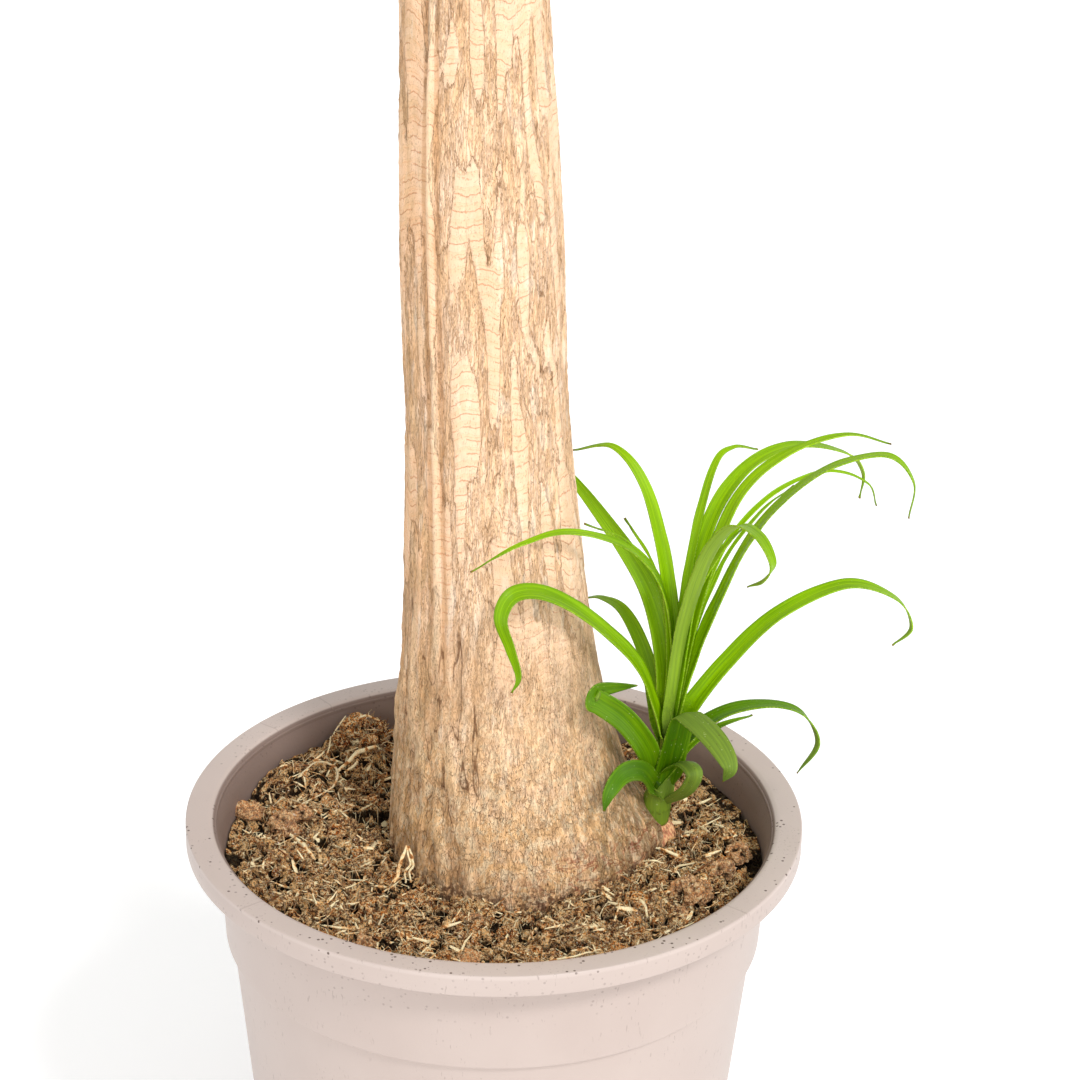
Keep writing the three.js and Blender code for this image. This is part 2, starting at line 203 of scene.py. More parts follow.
# The colour sockets of a Mix node go by number, because its numbers and vectors share their names.
MIX_A = 6
MIX_B = 7
MIX_RESULT = 2


def add_node(tree, kind, settings, inputs):
    """Adds a node: its settings first, then the values or links of its sockets."""
    made = tree.nodes.new(kind)
    for key, value in settings.items():
        setattr(made, key, value)
    for key, value in inputs.items():
        feed(tree, made.inputs[key], value)
    return made


def feed(tree, socket, value):
    """Gives a socket a value, or a link from another node."""
    if isinstance(value, Number):
        value = value.socket
    if isinstance(value, bpy.types.NodeSocket):
        tree.links.new(value, socket)
    else:
        socket.default_value = value


class Number:
    """A number in a material. Arithmetic on it adds Math nodes."""

    def __init__(self, finish, socket):
        self.finish = finish
        self.socket = socket

    def calc(self, operation, first, second=0.0):
        return self.finish.calc(operation, first, second)

    def __add__(self, other):
        return self.calc("ADD", self, other)

    def __sub__(self, other):
        return self.calc("SUBTRACT", self, other)

    def __rsub__(self, other):
        return self.calc("SUBTRACT", other, self)

    def __mul__(self, other):
        return self.calc("MULTIPLY", self, other)

    def __pow__(self, other):
        return self.calc("POWER", self, other)

    __radd__ = __add__
    __rmul__ = __mul__

    def above(self, level, soft=0.02):
        """0 below a level and 1 above it, with a soft step between."""
        made = self.finish.node(
            "ShaderNodeMapRange",
            {"interpolation_type": "SMOOTHSTEP"},
            {"Value": self, "From Min": level - soft, "From Max": level + soft},
        )
        return Number(self.finish, made.outputs["Result"])

    def below(self, level, soft=0.02):
        return 1 - self.above(level, soft)

    def near(self, level, width):
        """1 at a level, fading to 0 at that width on both sides of it."""
        away = self.calc("ABSOLUTE", self - level)
        made = self.finish.node(
            "ShaderNodeMapRange", {}, {"Value": away, "From Min": width, "From Max": width * 0.35}
        )
        return Number(self.finish, made.outputs["Result"])

    def clipped(self):
        return self.calc("MINIMUM", self.calc("MAXIMUM", self, 0.0), 1.0)


class Finish:
    """A material. What changes over the surface is worked out by nodes, and constants sit on the shader."""

    def __init__(self, name, **constants):
        self.material = bpy.data.materials.new(name)
        self.material.use_nodes = True
        self.tree = self.material.node_tree
        self.shader = self.tree.nodes["Principled BSDF"]
        for socket, value in constants.items():
            self.shader.inputs[socket.replace("_", " ")].default_value = value

    def node(self, kind, settings, inputs):
        return add_node(self.tree, kind, settings, inputs)

    def place(self, scale=(1, 1, 1), turn=(0, 0, 0)):
        """Object coordinates in millimetres, stretched: a scale of 2 makes a pattern twice as fine."""
        source = self.node("ShaderNodeTexCoord", {}, {})
        stretch = [s / MM for s in scale]
        made = self.node(
            "ShaderNodeMapping",
            {},
            {"Vector": source.outputs["Object"], "Rotation": turn, "Scale": stretch},
        )
        return made.outputs["Vector"]

    def vector(self, x, y, z):
        return self.node("ShaderNodeCombineXYZ", {}, {"X": x, "Y": y, "Z": z}).outputs["Vector"]

    def warped(self, vector, size, amount):
        """The vector pushed about by soft noise, by up to about half the amount."""
        wave = self.node("ShaderNodeTexNoise", {}, {"Vector": vector, "Scale": 1 / size, "Detail": 2.0})
        centred = self.vector_maths("SUBTRACT", {0: wave.outputs["Color"], 1: (0.5, 0.5, 0.5)})
        push = self.vector_maths("SCALE", {0: centred, "Scale": amount})
        return self.vector_maths("ADD", {0: vector, 1: push})

    def vector_maths(self, operation, inputs):
        return self.node("ShaderNodeVectorMath", {"operation": operation}, inputs).outputs[0]

    def calc(self, operation, first, second=0.0):
        made = self.node("ShaderNodeMath", {"operation": operation}, {0: first, 1: second})
        return Number(self, made.outputs[0])

    def attribute(self, name):
        made = self.node("ShaderNodeAttribute", {"attribute_name": name}, {})
        return Number(self, made.outputs["Fac"])

    def axis(self, vector, letter):
        made = self.node("ShaderNodeSeparateXYZ", {}, {"Vector": vector})
        return Number(self, made.outputs[letter])

    def grain(self, vector, size, detail=3.0, roughness=0.5, twist=0.0):
        """Soft noise around 0.5, whose blobs are about size units of the vector across."""
        made = self.node(
            "ShaderNodeTexNoise",
            {},
            {
                "Vector": vector,
                "Scale": 1 / size,
                "Detail": detail,
                "Roughness": roughness,
                "Distortion": twist,
            },
        )
        return Number(self, made.outputs["Fac"])

    def cells(self, vector, size, feature="F1"):
        """Distance to the middle, or to the edge, of scattered cells about size units across."""
        inputs = {"Vector": vector, "Scale": 1 / size, "Randomness": 1.0}
        made = self.node("ShaderNodeTexVoronoi", {"feature": feature}, inputs)
        return Number(self, made.outputs["Distance"])

    def mix(self, factor, first, second):
        """The first colour at a factor of 0 and the second at 1."""
        made = self.node(
            "ShaderNodeMix", {"data_type": "RGBA"}, {"Factor": factor, MIX_A: first, MIX_B: second}
        )
        return made.outputs[MIX_RESULT]

    def relief(self, height, depth):
        """A bump of a height between 0 and 1, with its depth in millimetres."""
        made = self.node("ShaderNodeBump", {}, {"Height": height, "Distance": depth * MM, "Strength": 1.0})
        return made.outputs["Normal"]

    def done(self, **links):
        """The finished material, once its varying sockets are fed."""
        for socket, value in links.items():
            feed(self.tree, self.shader.inputs[socket.replace("_", " ")], value)
        return self.material


def rgb(red, green, blue):
    """A screen colour of 0 to 255 a channel, as the linear colour that a material takes."""
    shares = [c / 255 for c in (red, green, blue)]
    return (*[s / 12.92 if s < 0.04 else ((s + 0.055) / 1.055) ** 2.4 for s in shares], 1.0)


# ---------------------------------------------------------------- pot

def pot_inner_radius(z):
    if z < STEP_HEIGHT:
        return lerp(POT_BASE_RADIUS, RADIUS_BELOW_STEP, z / STEP_HEIGHT) - POT_WALL
    share = (z - STEP_HEIGHT) / (RIM_BOTTOM - STEP_HEIGHT)
    return lerp(RADIUS_ABOVE_STEP, RADIUS_UNDER_RIM, share) - POT_WALL


# Where the fine moulding marks cross the rim, in degrees round from +X.
RIM_MARKS = (128.2, 143.8, -38, -141, 40)


def plastic_finish():
    """Satin taupe plastic, darker inside from painted shade and dust, with dark grains on the rim, scuffs and
    a few moulding marks.
    """
    plastic = Finish("taupe plastic", Roughness=0.4, Specular_IOR_Level=0.45)
    place = plastic.place()
    cloudy = plastic.grain(place, 60, 3)
    fine = plastic.grain(place, 1.1, 2, 0.6)
    x = plastic.axis(place, "X")
    y = plastic.axis(place, "Y")
    z = plastic.axis(place, "Z")
    radius = (x * x + y * y) ** 0.5
    slope = (RADIUS_UNDER_RIM - RADIUS_ABOVE_STEP) / (RIM_BOTTOM - STEP_HEIGHT)
    wall = z * slope + (RADIUS_ABOVE_STEP - POT_WALL / 2 - STEP_HEIGHT * slope)
    throat = radius.below(RIM_INNER_RADIUS - 1.6, 0.5) * z.above(RIM_BOTTOM + 1, 0.3)
    inside = ((radius - wall).below(0, 0.5) + throat).clipped() * z.above(SOIL_LEVEL - 30, 2)
    top = z.above(POT_HEIGHT - 2, 0.6)
    front = y.below(10, 70) + x.above(60, 60) * 0.6
    ticks = plastic.grain(plastic.place((1, 1, 0.2)), 1.2, 2, 0.6).above(0.67, 0.02)
    wear = ticks * plastic.grain(place, 26, 2).above(0.52, 0.08) * (1 - inside * 0.7)
    grains = plastic.cells(place, 3.4).below(0.19, 0.04) * plastic.grain(place, 15, 3).above(0.5, 0.06)
    dust = (grains * (top * front * 0.9 + z.above(SOIL_LEVEL - 14, 4) * 0.3)).clipped()
    angle = plastic.calc("ARCTAN2", y, x)
    marks = sum((angle - math.radians(degrees)).near(0, 0.004) for degrees in RIM_MARKS)
    base = plastic.mix(cloudy, rgb(188, 171, 163), rgb(205, 190, 182))
    # Painted shade: every face but the rim's flat top is made a little darker, a tone set for how the lit
    # sides look.
    base = plastic.mix((1 - top) * 0.14, base, rgb(146, 124, 114))
    base = plastic.mix(wear * 0.45, base, rgb(138, 120, 112))
    # Painted shade and dust: the inner wall above the soil is darkened, for the shade inside the pot as well
    # as its dust.
    base = plastic.mix(inside * (0.62 + cloudy * 0.3), base, rgb(108, 86, 76))
    base = plastic.mix(marks * top * 0.35, base, rgb(150, 134, 126))
    base = plastic.mix(dust * 0.85, base, rgb(70, 48, 36))
    bump = plastic.relief(fine * 0.5 + dust * 0.8 + marks * top * 0.5, 0.12)
    return plastic.done(Base_Color=base, Normal=bump, Roughness=0.36 + cloudy * 0.12 + inside * 0.25)


def make_pot():
    drain_floor = POT_FLOOR + DRAIN_RISE
    ring_rows = [DRAIN_RING_MIDDLE + off for off in (-8, -5, -2.5, 0, 2.5, 5, 8)]
    profile = [
        (0, 0),
        (PAD_RADIUS, 0),
        (DRAIN_RING_INNER, DRAIN_RISE),
        *[(radius, DRAIN_RISE) for radius in ring_rows],
        (DRAIN_RING_OUTER, DRAIN_RISE),
        (DRAIN_RING_OUTER + 3, 0),
        (POT_BASE_RADIUS - 1, 0),
        (POT_BASE_RADIUS, 1),
        (lerp(POT_BASE_RADIUS, RADIUS_BELOW_STEP, 0.5), STEP_HEIGHT / 2),
        (RADIUS_BELOW_STEP, STEP_HEIGHT),
        (RADIUS_ABOVE_STEP, STEP_HEIGHT + 1.5),
        (RADIUS_UNDER_RIM, RIM_BOTTOM),
        (RADIUS_UNDER_RIM + 0.6, POT_HEIGHT - POT_WALL),
        (RIM_RADIUS - POT_WALL - 0.4, POT_HEIGHT - POT_WALL),
        (RIM_RADIUS - POT_WALL, RIM_BOTTOM),
        (RIM_RADIUS, RIM_BOTTOM),
        (RIM_RADIUS, POT_HEIGHT),
        (RIM_INNER_RADIUS, POT_HEIGHT),
        (RIM_INNER_RADIUS - 2.2, POT_HEIGHT - 1.1),
        (pot_inner_radius(RIM_BOTTOM) + 1, RIM_BOTTOM + 3),
        (pot_inner_radius(RIM_BOTTOM), RIM_BOTTOM - 2),
        (pot_inner_radius(STEP_HEIGHT + 1), STEP_HEIGHT + 1),
        (pot_inner_radius(STEP_HEIGHT - 2), STEP_HEIGHT - 2),
        (pot_inner_radius(drain_floor), drain_floor),
        *[(radius, drain_floor) for radius in [DRAIN_RING_OUTER, *reversed(ring_rows)]],
        (DRAIN_RING_INNER - POT_FLOOR, drain_floor),
        (PAD_RADIUS - POT_FLOOR, POT_FLOOR),
        (0, POT_FLOOR),
    ]
    sides = 192
    bm = bmesh.new()
    turned(bm, profile, sides)
    for i in range(DRAIN_HOLES):
        turn = 2 * math.pi * i / DRAIN_HOLES
        centre = DRAIN_RING_MIDDLE * Vector((math.cos(turn), math.sin(turn)))
        inside = [
            face
            for face in bm.faces
            if face.calc_center_median().z < drain_floor + 1
            and (face.calc_center_median().xy - centre).length < DRAIN_HOLE_RADIUS
        ]
        border = [
            edge for face in inside for edge in face.edges if any(f not in inside for f in edge.link_faces)
        ]
        bmesh.ops.delete(bm, geom=inside, context="FACES")
        for vert in {vert for edge in border for vert in edge.verts}:
            spoke = (vert.co.xy - centre).normalized() * DRAIN_HOLE_RADIUS
            vert.co.xy = centre + spoke
        bmesh.ops.bridge_loops(bm, edges=border)
    corners = [
        edge
        for edge in bm.edges
        if len(edge.link_faces) == 2
        and edge.calc_face_angle() > math.radians(24)
        and abs(edge.verts[0].co.z - edge.verts[1].co.z) < 0.01
        and edge.verts[0].co.z > DRAIN_RISE + 4
    ]
    bmesh.ops.bevel(
        bm, geom=corners, offset=0.9, segments=4, profile=0.5, affect="EDGES", clamp_overlap=True, material=-1
    )
    bmesh.ops.recalc_face_normals(bm, faces=bm.faces)
    new_piece("pot_body", bm, [plastic_finish()], ["pot"])


# ---------------------------------------------------------------- trunk

TRUNK_CURVE = SmoothCurve([(radius, lean, z) for z, radius, lean in TRUNK_STATIONS])


def trunk_at(z):
    """The trunk's radius and lean at a height."""
    low, high = 0.0, 1.0
    for _ in range(26):
        middle = (low + high) / 2
        if TRUNK_CURVE.at(middle).z < z:
            low = middle
        else:
            high = middle
    radius, lean, _ = TRUNK_CURVE.at(low)
    return radius, lean


# The levels at which the bark's soft fields turn into smooth plates and into the small licks between them.
FLAME_EDGE = 0.03
TONGUE_EDGE = 0.1


def bark_fields(x, y, z):
    """Three soft fields that the bark's form and colour share: tall flames, small tongues and strands."""
    bend = noise.noise_vector(Vector((x / 15, y / 15, z / 46))) * 2.6
    x, y, z = x + bend.x, y + bend.y, z + bend.z * 3
    flames = noise.noise(Vector((x / 6.6, y / 6.6, z / 62)))
    tongues = noise.noise(Vector((x / 4.2 + 9, y / 4.2, z / 21)))
    strands = noise.noise(Vector((x / 2.1, y / 2.1 + 5, z / 22)))
    return flames, tongues, strands


def bark_folds(x, y, z):
    """The soft upright folds on the left of the swollen foot."""
    across = noise.noise(Vector((x / 7, y / 7, z / 70))) + 0.4 * noise.noise(Vector((x / 3, y / 3, z / 30)))
    return across * smoothstep(x, 4, -40) * (1 - smoothstep(z, 300, 400))


def bark_height(place, angle, fields):
    """Height of the bark above the trunk's plain form in millimetres, and the long rib left of the middle."""
    x, y, z = place
    flames, tongues, strands = fields
    corky = smoothstep(z, 265, 400)
    wander = 1.3 * math.sin(z / 71) + 0.7 * math.sin(z / 29)
    swell = 0.6 * math.sin(9 * angle + wander) + 0.4 * math.sin(14 * angle - z / 47 + wander)
    raised = smoothstep(flames, FLAME_EDGE - 0.04, FLAME_EDGE + 0.06)
    licked = smoothstep(tongues, TONGUE_EDGE - 0.04, TONGUE_EDGE + 0.06)
    rib_angle = math.radians(-126 + 3 * math.sin(z / 90))
    from_rib = (angle - rib_angle) * 36 / 1.5
    rib = math.exp(-from_rib * from_rib) - 0.6 * math.exp(-((abs(from_rib) - 2.1) ** 2))
    rib *= smoothstep(z, 290, 380)
    crumb = noise.noise(Vector((x / 1.7, y / 1.7, z / 3.6)))
    height = 0.75 * swell * smoothstep(z, 225, 262) * lerp(0.55, 1, corky)
    height += lerp(0.2, 0.6, corky) * raised + lerp(0.15, 0.5, corky) * licked * (1 - 0.7 * raised * corky)
    corded = lerp(0.25, 0.6, corky) * strands * (1 - 0.6 * raised)
    height += corded + 0.35 * crumb + 1.2 * rib + 2.4 * bark_folds(x, y, z)
    height += (1 - corky) * 0.9 * noise.noise(Vector((x / 7, y / 7, z / 9)))
    return height - 0.6, rib


def bark_marks(bark):
    """Where the bark's marks lie: each is 1 on the mark and 0 off it, apart from the grains."""
    place = bark.place()
    x = bark.axis(place, "X")
    z = bark.axis(place, "Z")
    corky = z.above(330, 70)
    ragged = bark.grain(bark.place((1, 1, 0.22)), 1.6, 4, 0.7) - 0.5
    flames = bark.attribute("flames") + ragged * 0.42
    tongues = bark.attribute("tongues") + ragged * 0.3
    plates = flames.above(FLAME_EDGE, 0.03) * corky
    drawn = bark.warped(bark.place((1, 1, 0.08)), 6, 1.6)
    strands = bark.grain(drawn, 1.3, 2, 0.6)
    threads = bark.grain(drawn, 0.5, 2, 0.6)
    patchy = bark.grain(bark.place((1, 1, 0.6)), 17, 3).above(0.48, 0.1)
    outline = flames.near(FLAME_EDGE, 0.025) * bark.grain(bark.place((1, 1, 0.5)), 9, 2).above(0.42, 0.06)
    licks = tongues.near(TONGUE_EDGE, 0.035) * bark.grain(place, 9, 2).above(0.45, 0.05) * (1 - plates * 0.8)
    # the thin ledges that cross the smooth plates, one above the other
    climb = (z + bark.grain(bark.place((1, 1, 0.12)), 16, 1) * 22 + bark.grain(place, 2.4, 2) * 2.4) * (1 / 7)
    step = bark.calc("FRACT", climb)
    smooth = flames.above(FLAME_EDGE + 0.05, 0.02) * corky
    rungs = step.near(0.5, 0.055) * smooth * bark.grain(bark.place((1, 1, 0.6)), 10, 2).above(0.46, 0.04)
    second = step.near(0.8, 0.045) * smooth * bark.grain(bark.place((1, 1, 0.6)), 7, 2).above(0.49, 0.03)
    pores = bark.grain(bark.place((1, 1, 0.4)), 0.7, 1).above(0.65, 0.03)
    ticks = bark.grain(bark.place((1, 1, 0.28)), 0.6, 2, 0.5).above(0.64, 0.02)
    ticks = ticks * (1 - plates * 0.75) * (1 - corky * 0.45)
    lines = threads.near(0.5, 0.05) * bark.grain(bark.place((1, 1, 0.2)), 3, 2).above(0.46, 0.05)
    cords = strands.near(0.5, 0.028) * bark.grain(bark.place((1, 1, 0.15)), 6, 2).above(0.4, 0.04)
    # the net of fine cracks on the foot
    upright = bark.warped(bark.place((1, 1, 0.24)), 3, 2.2)
    split = bark.cells(upright, 3.1, "DISTANCE_TO_EDGE").below(0.03, 0.03)
    split = split * bark.grain(bark.place((1, 1, 0.5)), 6, 2).above(0.5, 0.05)
    torn = bark.warped(bark.place((1, 1, 0.6)), 3, 3.4)
    net = bark.cells(torn, 2.6, "DISTANCE_TO_EDGE").below(0.05, 0.04)
    net = net * bark.grain(place, 7, 2).above(0.55, 0.04)
    net = (split + net * 0.8).clipped() * (1 - corky)
    mottle = bark.grain(bark.place((1, 1, 0.7)), 3.4, 5, 0.7)
    return SimpleNamespace(
        place=place, x=x, z=z, corky=corky, plates=plates, strands=strands, threads=threads, patchy=patchy,
        outline=outline, licks=licks, step=step, smooth=smooth, rungs=rungs, second=second, pores=pores,
        ticks=ticks, lines=lines, cords=cords, net=net, mottle=mottle,
    )


def bark_column_tone(bark, on):
    """The colours of the trunk's column, from the cream of its plates to the brown lines round them."""
    broad = bark.grain(bark.place((1, 1, 0.28)), 12, 3, 0.55, 0.4)
    cream = bark.mix(broad.above(0.5, 0.14), rgb(244, 204, 164), rgb(252, 218, 186))
    striped = on.strands.below(0.5, 0.1) * 0.55 + on.threads.below(0.48, 0.08) * 0.45
    striped = (striped * (1 - on.plates * 0.7)).clipped() * (0.4 + on.corky * 0.22)
    tone = bark.mix(striped, cream, rgb(246, 196, 144))
    tone = bark.mix(on.plates * 0.55, tone, rgb(248, 210, 176))
    # Painted shade: on the smooth plates the band above each ledge line is darker, as if shaded by the ledge.
    tone = bark.mix(on.smooth * on.step.above(0.62, 0.2) * 0.45, tone, rgb(240, 200, 158))
    grooves = ((on.lines * 0.5 + on.cords) * (1 - on.plates * 0.85)).clipped()
    tone = bark.mix(grooves * (0.3 + on.corky * 0.16), tone, rgb(194, 134, 82))
    tone = bark.mix((on.rungs + on.second * 0.6).clipped() * 0.7, tone, rgb(222, 152, 112))
    tone = bark.mix((on.outline * 0.5 + on.licks * 0.4).clipped() * on.corky, tone, rgb(204, 150, 102))
    shade = bark.grain(bark.place((1, 1, 0.4)), 2.4, 2).above(0.55, 0.03)
    tone = bark.mix((on.outline + on.licks).clipped() * shade * on.corky * 0.5, tone, rgb(120, 78, 48))
    pale = bark.grain(bark.place((1, 1, 0.2)), 4, 3).above(0.6, 0.05)
    pale = pale * bark.grain(on.place, 45, 2).above(0.48, 0.1)
    tone = bark.mix(pale * 0.45, tone, rgb(255, 238, 216))
    # Painted highlight on the crest of the long rib, and painted shade in the grooves on either side of it.
    rib = bark.attribute("rib")
    tone = bark.mix(rib.above(0.3, 0.3) * 0.5, tone, rgb(252, 224, 188))
    return bark.mix(rib.below(-0.2, 0.15) * 0.45, tone, rgb(190, 136, 90))


def bark_foot_tone(bark, on, tone):
    """The colours that come on top towards the foot and on the left, down to the soil that sticks to it."""
    x, z = on.x, on.z
    # The left side is tinted a darker brown in patches: in part painted shade on the side away from the
    # lamps, in part the bark's own browner tone.
    left = (x + z * 0.02).below(-20, 14)
    tone = bark.mix(left * (0.12 + on.patchy * 0.24), tone, rgb(212, 152, 90))
    greyed = left * bark.grain(bark.place((1, 1, 0.3)), 7, 3).above(0.52, 0.05)
    tone = bark.mix(greyed * (0.18 + z.below(380, 90) * 0.1), tone, rgb(160, 144, 98))
    stain = bark.grain(on.place, 11, 4, 0.6).above(0.48, 0.12)
    tone = bark.mix(z.below(300, 70) * (0.24 + stain * 0.4), tone, rgb(255, 202, 134))
    tone = bark.mix(z.below(310, 60) * on.mottle.below(0.43, 0.04) * 0.24, tone, rgb(212, 156, 102))
    tone = bark.mix(z.below(310, 60) * on.mottle.above(0.54, 0.05) * 0.7, tone, rgb(255, 230, 190))
    # Painted shade in the hollows and creases of the folds on the foot, and a painted highlight on their
    # crests.
    folds = bark.attribute("folds")
    tone = bark.mix(folds.below(-0.06, 0.06) * 0.3, tone, rgb(176, 128, 82))
    crease = folds.near(-0.12, 0.02) * bark.grain(bark.place((1, 1, 0.4)), 6, 2).above(0.45, 0.04)
    tone = bark.mix(crease * 0.75, tone, rgb(112, 72, 42))
    tone = bark.mix(folds.above(0.16, 0.08) * 0.4, tone, rgb(250, 214, 168))
    tone = bark.mix(on.net * 0.36, tone, rgb(140, 90, 52))
    specks = (on.ticks * (0.4 + on.patchy * 0.5) + on.pores * 0.45).clipped()
    tone = bark.mix(specks * 0.7, tone, rgb(108, 68, 42))
    ruddle = bark.grain(bark.place((0.5, 0.5, 1)), 6, 3, 0.6, 0.8).near(0.5, 0.03) * z.below(246, 9)
    tone = bark.mix(ruddle * x.above(20, 20) * 0.7, tone, rgb(172, 78, 50))
    # Painted shadow: the shade of the shoot's leaves on the trunk's lower right flank, drawn as dark streaks.
    shoot_shadow_streaks = (x - z * 0.1).above(25, 5) * z.below(330, 40)
    shoot_shadow_streaks = shoot_shadow_streaks * bark.grain(bark.place((1, 1, 0.14)), 3.4, 3).above(0.46, 0.06)
    tone = bark.mix(shoot_shadow_streaks * 0.5, tone, rgb(126, 98, 56))
    soiled = z.below(232, 5) * bark.grain(on.place, 2.8, 4, 0.65).above(0.5, 0.06)
    return bark.mix(soiled * 0.8, tone, rgb(96, 62, 42))


def bark_finish():
    bark = Finish("corky bark", Roughness=0.82, Specular_IOR_Level=0.2)
    on = bark_marks(bark)
    tone = bark_foot_tone(bark, on, bark_column_tone(bark, on))
    height = on.strands * (0.8 - on.corky * 0.4) + on.threads * (0.5 - on.corky * 0.2)
    height = height - on.ticks * 0.6 - on.net * 0.9 + on.step * on.smooth * 0.35 - on.rungs * 0.4
    height = height + on.mottle * (1 - on.corky) * 0.95 - (on.lines + on.cords) * (1 - on.plates) * 0.35
    height = height - (on.outline + on.licks) * on.corky * 0.6 + bark.grain(on.place, 0.8, 3) * 0.5
    return bark.done(Base_Color=tone, Normal=bark.relief(height, 0.6))


def make_trunk():
    rows = 448
    sides = 216
    heights = [lerp(TRUNK_BOTTOM, TRUNK_TOP, (i / rows) ** 1.12) for i in range(rows + 1)]
    bm = bmesh.new()
    turned(bm, [(0, TRUNK_BOTTOM), *[(1, z) for z in heights], (0, TRUNK_TOP)], sides)
    # The rib and folds values also paint highlight and shade in the bark's finish.
    layers = [bm.verts.layers.float.new(name) for name in ("flames", "tongues", "rib", "folds")]
    form = {}
    for vert in bm.verts:
        z = vert.co.z
        if z not in form:
            form[z] = trunk_at(z)
        radius, lean = form[z]
        angle = math.atan2(vert.co.y, vert.co.x)
        off = math.hypot(vert.co.x, vert.co.y)
        lump = 6 * math.exp(-((angle / 0.36) ** 2) - ((z - SHOOT_FOOT.z) / 13) ** 2)
        radius += lump + 0.025 * radius * math.sin(3 * angle + 1.1) * (1 - smoothstep(z, 240, 420))
        cos, sin = math.cos(angle), math.sin(angle)
        place = (radius * cos, radius * sin, z)
        fields = bark_fields(*place)
        height, rib = bark_height(place, angle, fields)
        if off > 0.5:
            radius += height
        vert.co.x = off * radius * cos + lean
        vert.co.y = off * radius * sin + TRUNK_Y
        for layer, value in zip(layers, (*fields[:2], rib, bark_folds(*place))):
            vert[layer] = value
    new_piece("trunk_bark", bm, [bark_finish()], ["trunk"])


# ---------------------------------------------------------------- soil

# Mounds of the surface, and hollows where the height is below zero: x, y, size, height.
CLODS = [
    (-98, 62, 26, 11),
    (-96, -20, 15, 6),
    (-70, -66, 22, 4),
    (98, -28, 17, 7),
    (112, 4, 13, 5),
    (66, -70, 20, 4),
    (10, -72, 30, -4),
    (-62, 66, 16, -9),
    (84, 74, 22, 5),
    (-20, 112, 24, 4),
    (-72, 104, 19, 13),
]


def soil_height(x, y):
    from_centre = math.hypot(x, y) / pot_inner_radius(SOIL_LEVEL)
    height = SOIL_LEVEL - 3 * (1 - from_centre * from_centre)
    for clod_x, clod_y, size, rise in CLODS:
        height += rise * math.exp(-(((x - clod_x) ** 2 + (y - clod_y) ** 2) / size**2))
    ripple = 1.3 * math.sin(x / 6.1 + 1.7 * math.sin(y / 9.3))
    return height + ripple * math.cos(y / 7.4 + 0.8 * math.sin(x / 11))


def flake(place, size):
    """Height of a surface of tilted flakes about size across, with sharp steps between them."""
    near = noise.voronoi(place / size)[1][0]
    tilt = noise.cell_vector(near * 9.7 + Vector((0.3, 0.3, 0.3)))
    away = place / size - near
    return (tilt.x - 0.5) * 1.3 + away.x * (tilt.y - 0.5) * 1.5 + away.y * (tilt.z - 0.5) * 1.5


def soil_roughness(x, y):
    """How far the crumbly surface lies above the plain one, in millimetres."""
    place = Vector((x, y, 0))
    bent = place + noise.noise_vector(place / 6) * 3
    rolling = noise.fractal(place / 20, 0.8, 2.1, 3)
    lumps = abs(noise.noise(bent / 7)) * 2.4 - 0.6
    pits = smoothstep(noise.noise(bent / 10 + Vector((3, 9, 0))), 0.16, 0.42)
    return 2.6 * rolling + 1.6 * lumps + 2.8 * flake(bent, 5.5) + 1.5 * flake(bent, 2.6) - 6.5 * pits


def rough_soil_height(x, y):
    calm = 1 - smoothstep(math.hypot(x, y), 120, 127) * 0.6
    return soil_height(x, y) + soil_roughness(x, y) * calm


def soil_finish(name, light=0.0, pale=rgb(206, 150, 112)):
    """Peaty potting soil: hollows painted black as shade, brown crumbs, straw-coloured fibres and a few white
    grains.
    """
    soil = Finish(name, Roughness=0.95, Specular_IOR_Level=0.1)
    place = soil.place()
    rise = soil.attribute("rise")
    tint = soil.attribute("tint")
    fibres = soil.grain(soil.warped(soil.place((1, 0.22, 1), (0, 0, 0.5)), 5, 6), 0.7, 3, 0.6)
    cross = soil.grain(soil.warped(soil.place((0.22, 1, 1), (0, 0, 0.2)), 6, 8), 0.65, 3, 0.6)
    crumbs = soil.grain(place, 2.2, 5, 0.72)
    fine = soil.grain(place, 0.9, 3, 0.6)
    clumps = soil.grain(place, 13, 3)
    grit = soil.cells(place, 2.6).below(0.16, 0.03) * soil.grain(place, 6, 2).above(0.57, 0.03)
    tone = soil.mix(clumps.above(0.5, 0.1), rgb(150, 76, 28), rgb(228, 138, 64))
    tone = soil.mix(tint.above(0.64, 0.06) * 0.85, tone, rgb(255, 206, 138))
    tone = soil.mix(tint.below(0.44, 0.08) * 0.8, tone, rgb(66, 36, 16))
    tone = soil.mix(crumbs.above(0.53, 0.03) * 0.75, tone, rgb(255, 184, 98))
    tone = soil.mix(crumbs.above(0.58, 0.02) * 0.95, tone, rgb(255, 236, 188))
    tone = soil.mix(fibres.above(0.56, 0.02) * 0.95, tone, rgb(255, 230, 180))
    tone = soil.mix(cross.above(0.58, 0.02) * 0.9, tone, rgb(250, 210, 156))
    # The darkest spots, where the fine and crumb grains run low, are partly the peat's own dark colour and
    # partly painted shade between the crumbs.
    tone = soil.mix(fine.below(0.43, 0.03) * 0.8, tone, rgb(44, 24, 12))
    tone = soil.mix(crumbs.below(0.44, 0.04) * 0.9, tone, rgb(24, 13, 9))
    tone = soil.mix(grit * 0.9, tone, rgb(255, 246, 230))
    tone = soil.mix(light, tone, pale)
    # Painted shade: wherever the surface lies low, it is painted nearly black.
    tone = soil.mix(rise.below(0.42, 0.14) * 0.94, tone, rgb(16, 9, 6))
    height = crumbs + fibres * 0.6 + cross * 0.5 + fine * 0.5
    return soil.done(Base_Color=tone, Normal=soil.relief(height, 1.8))


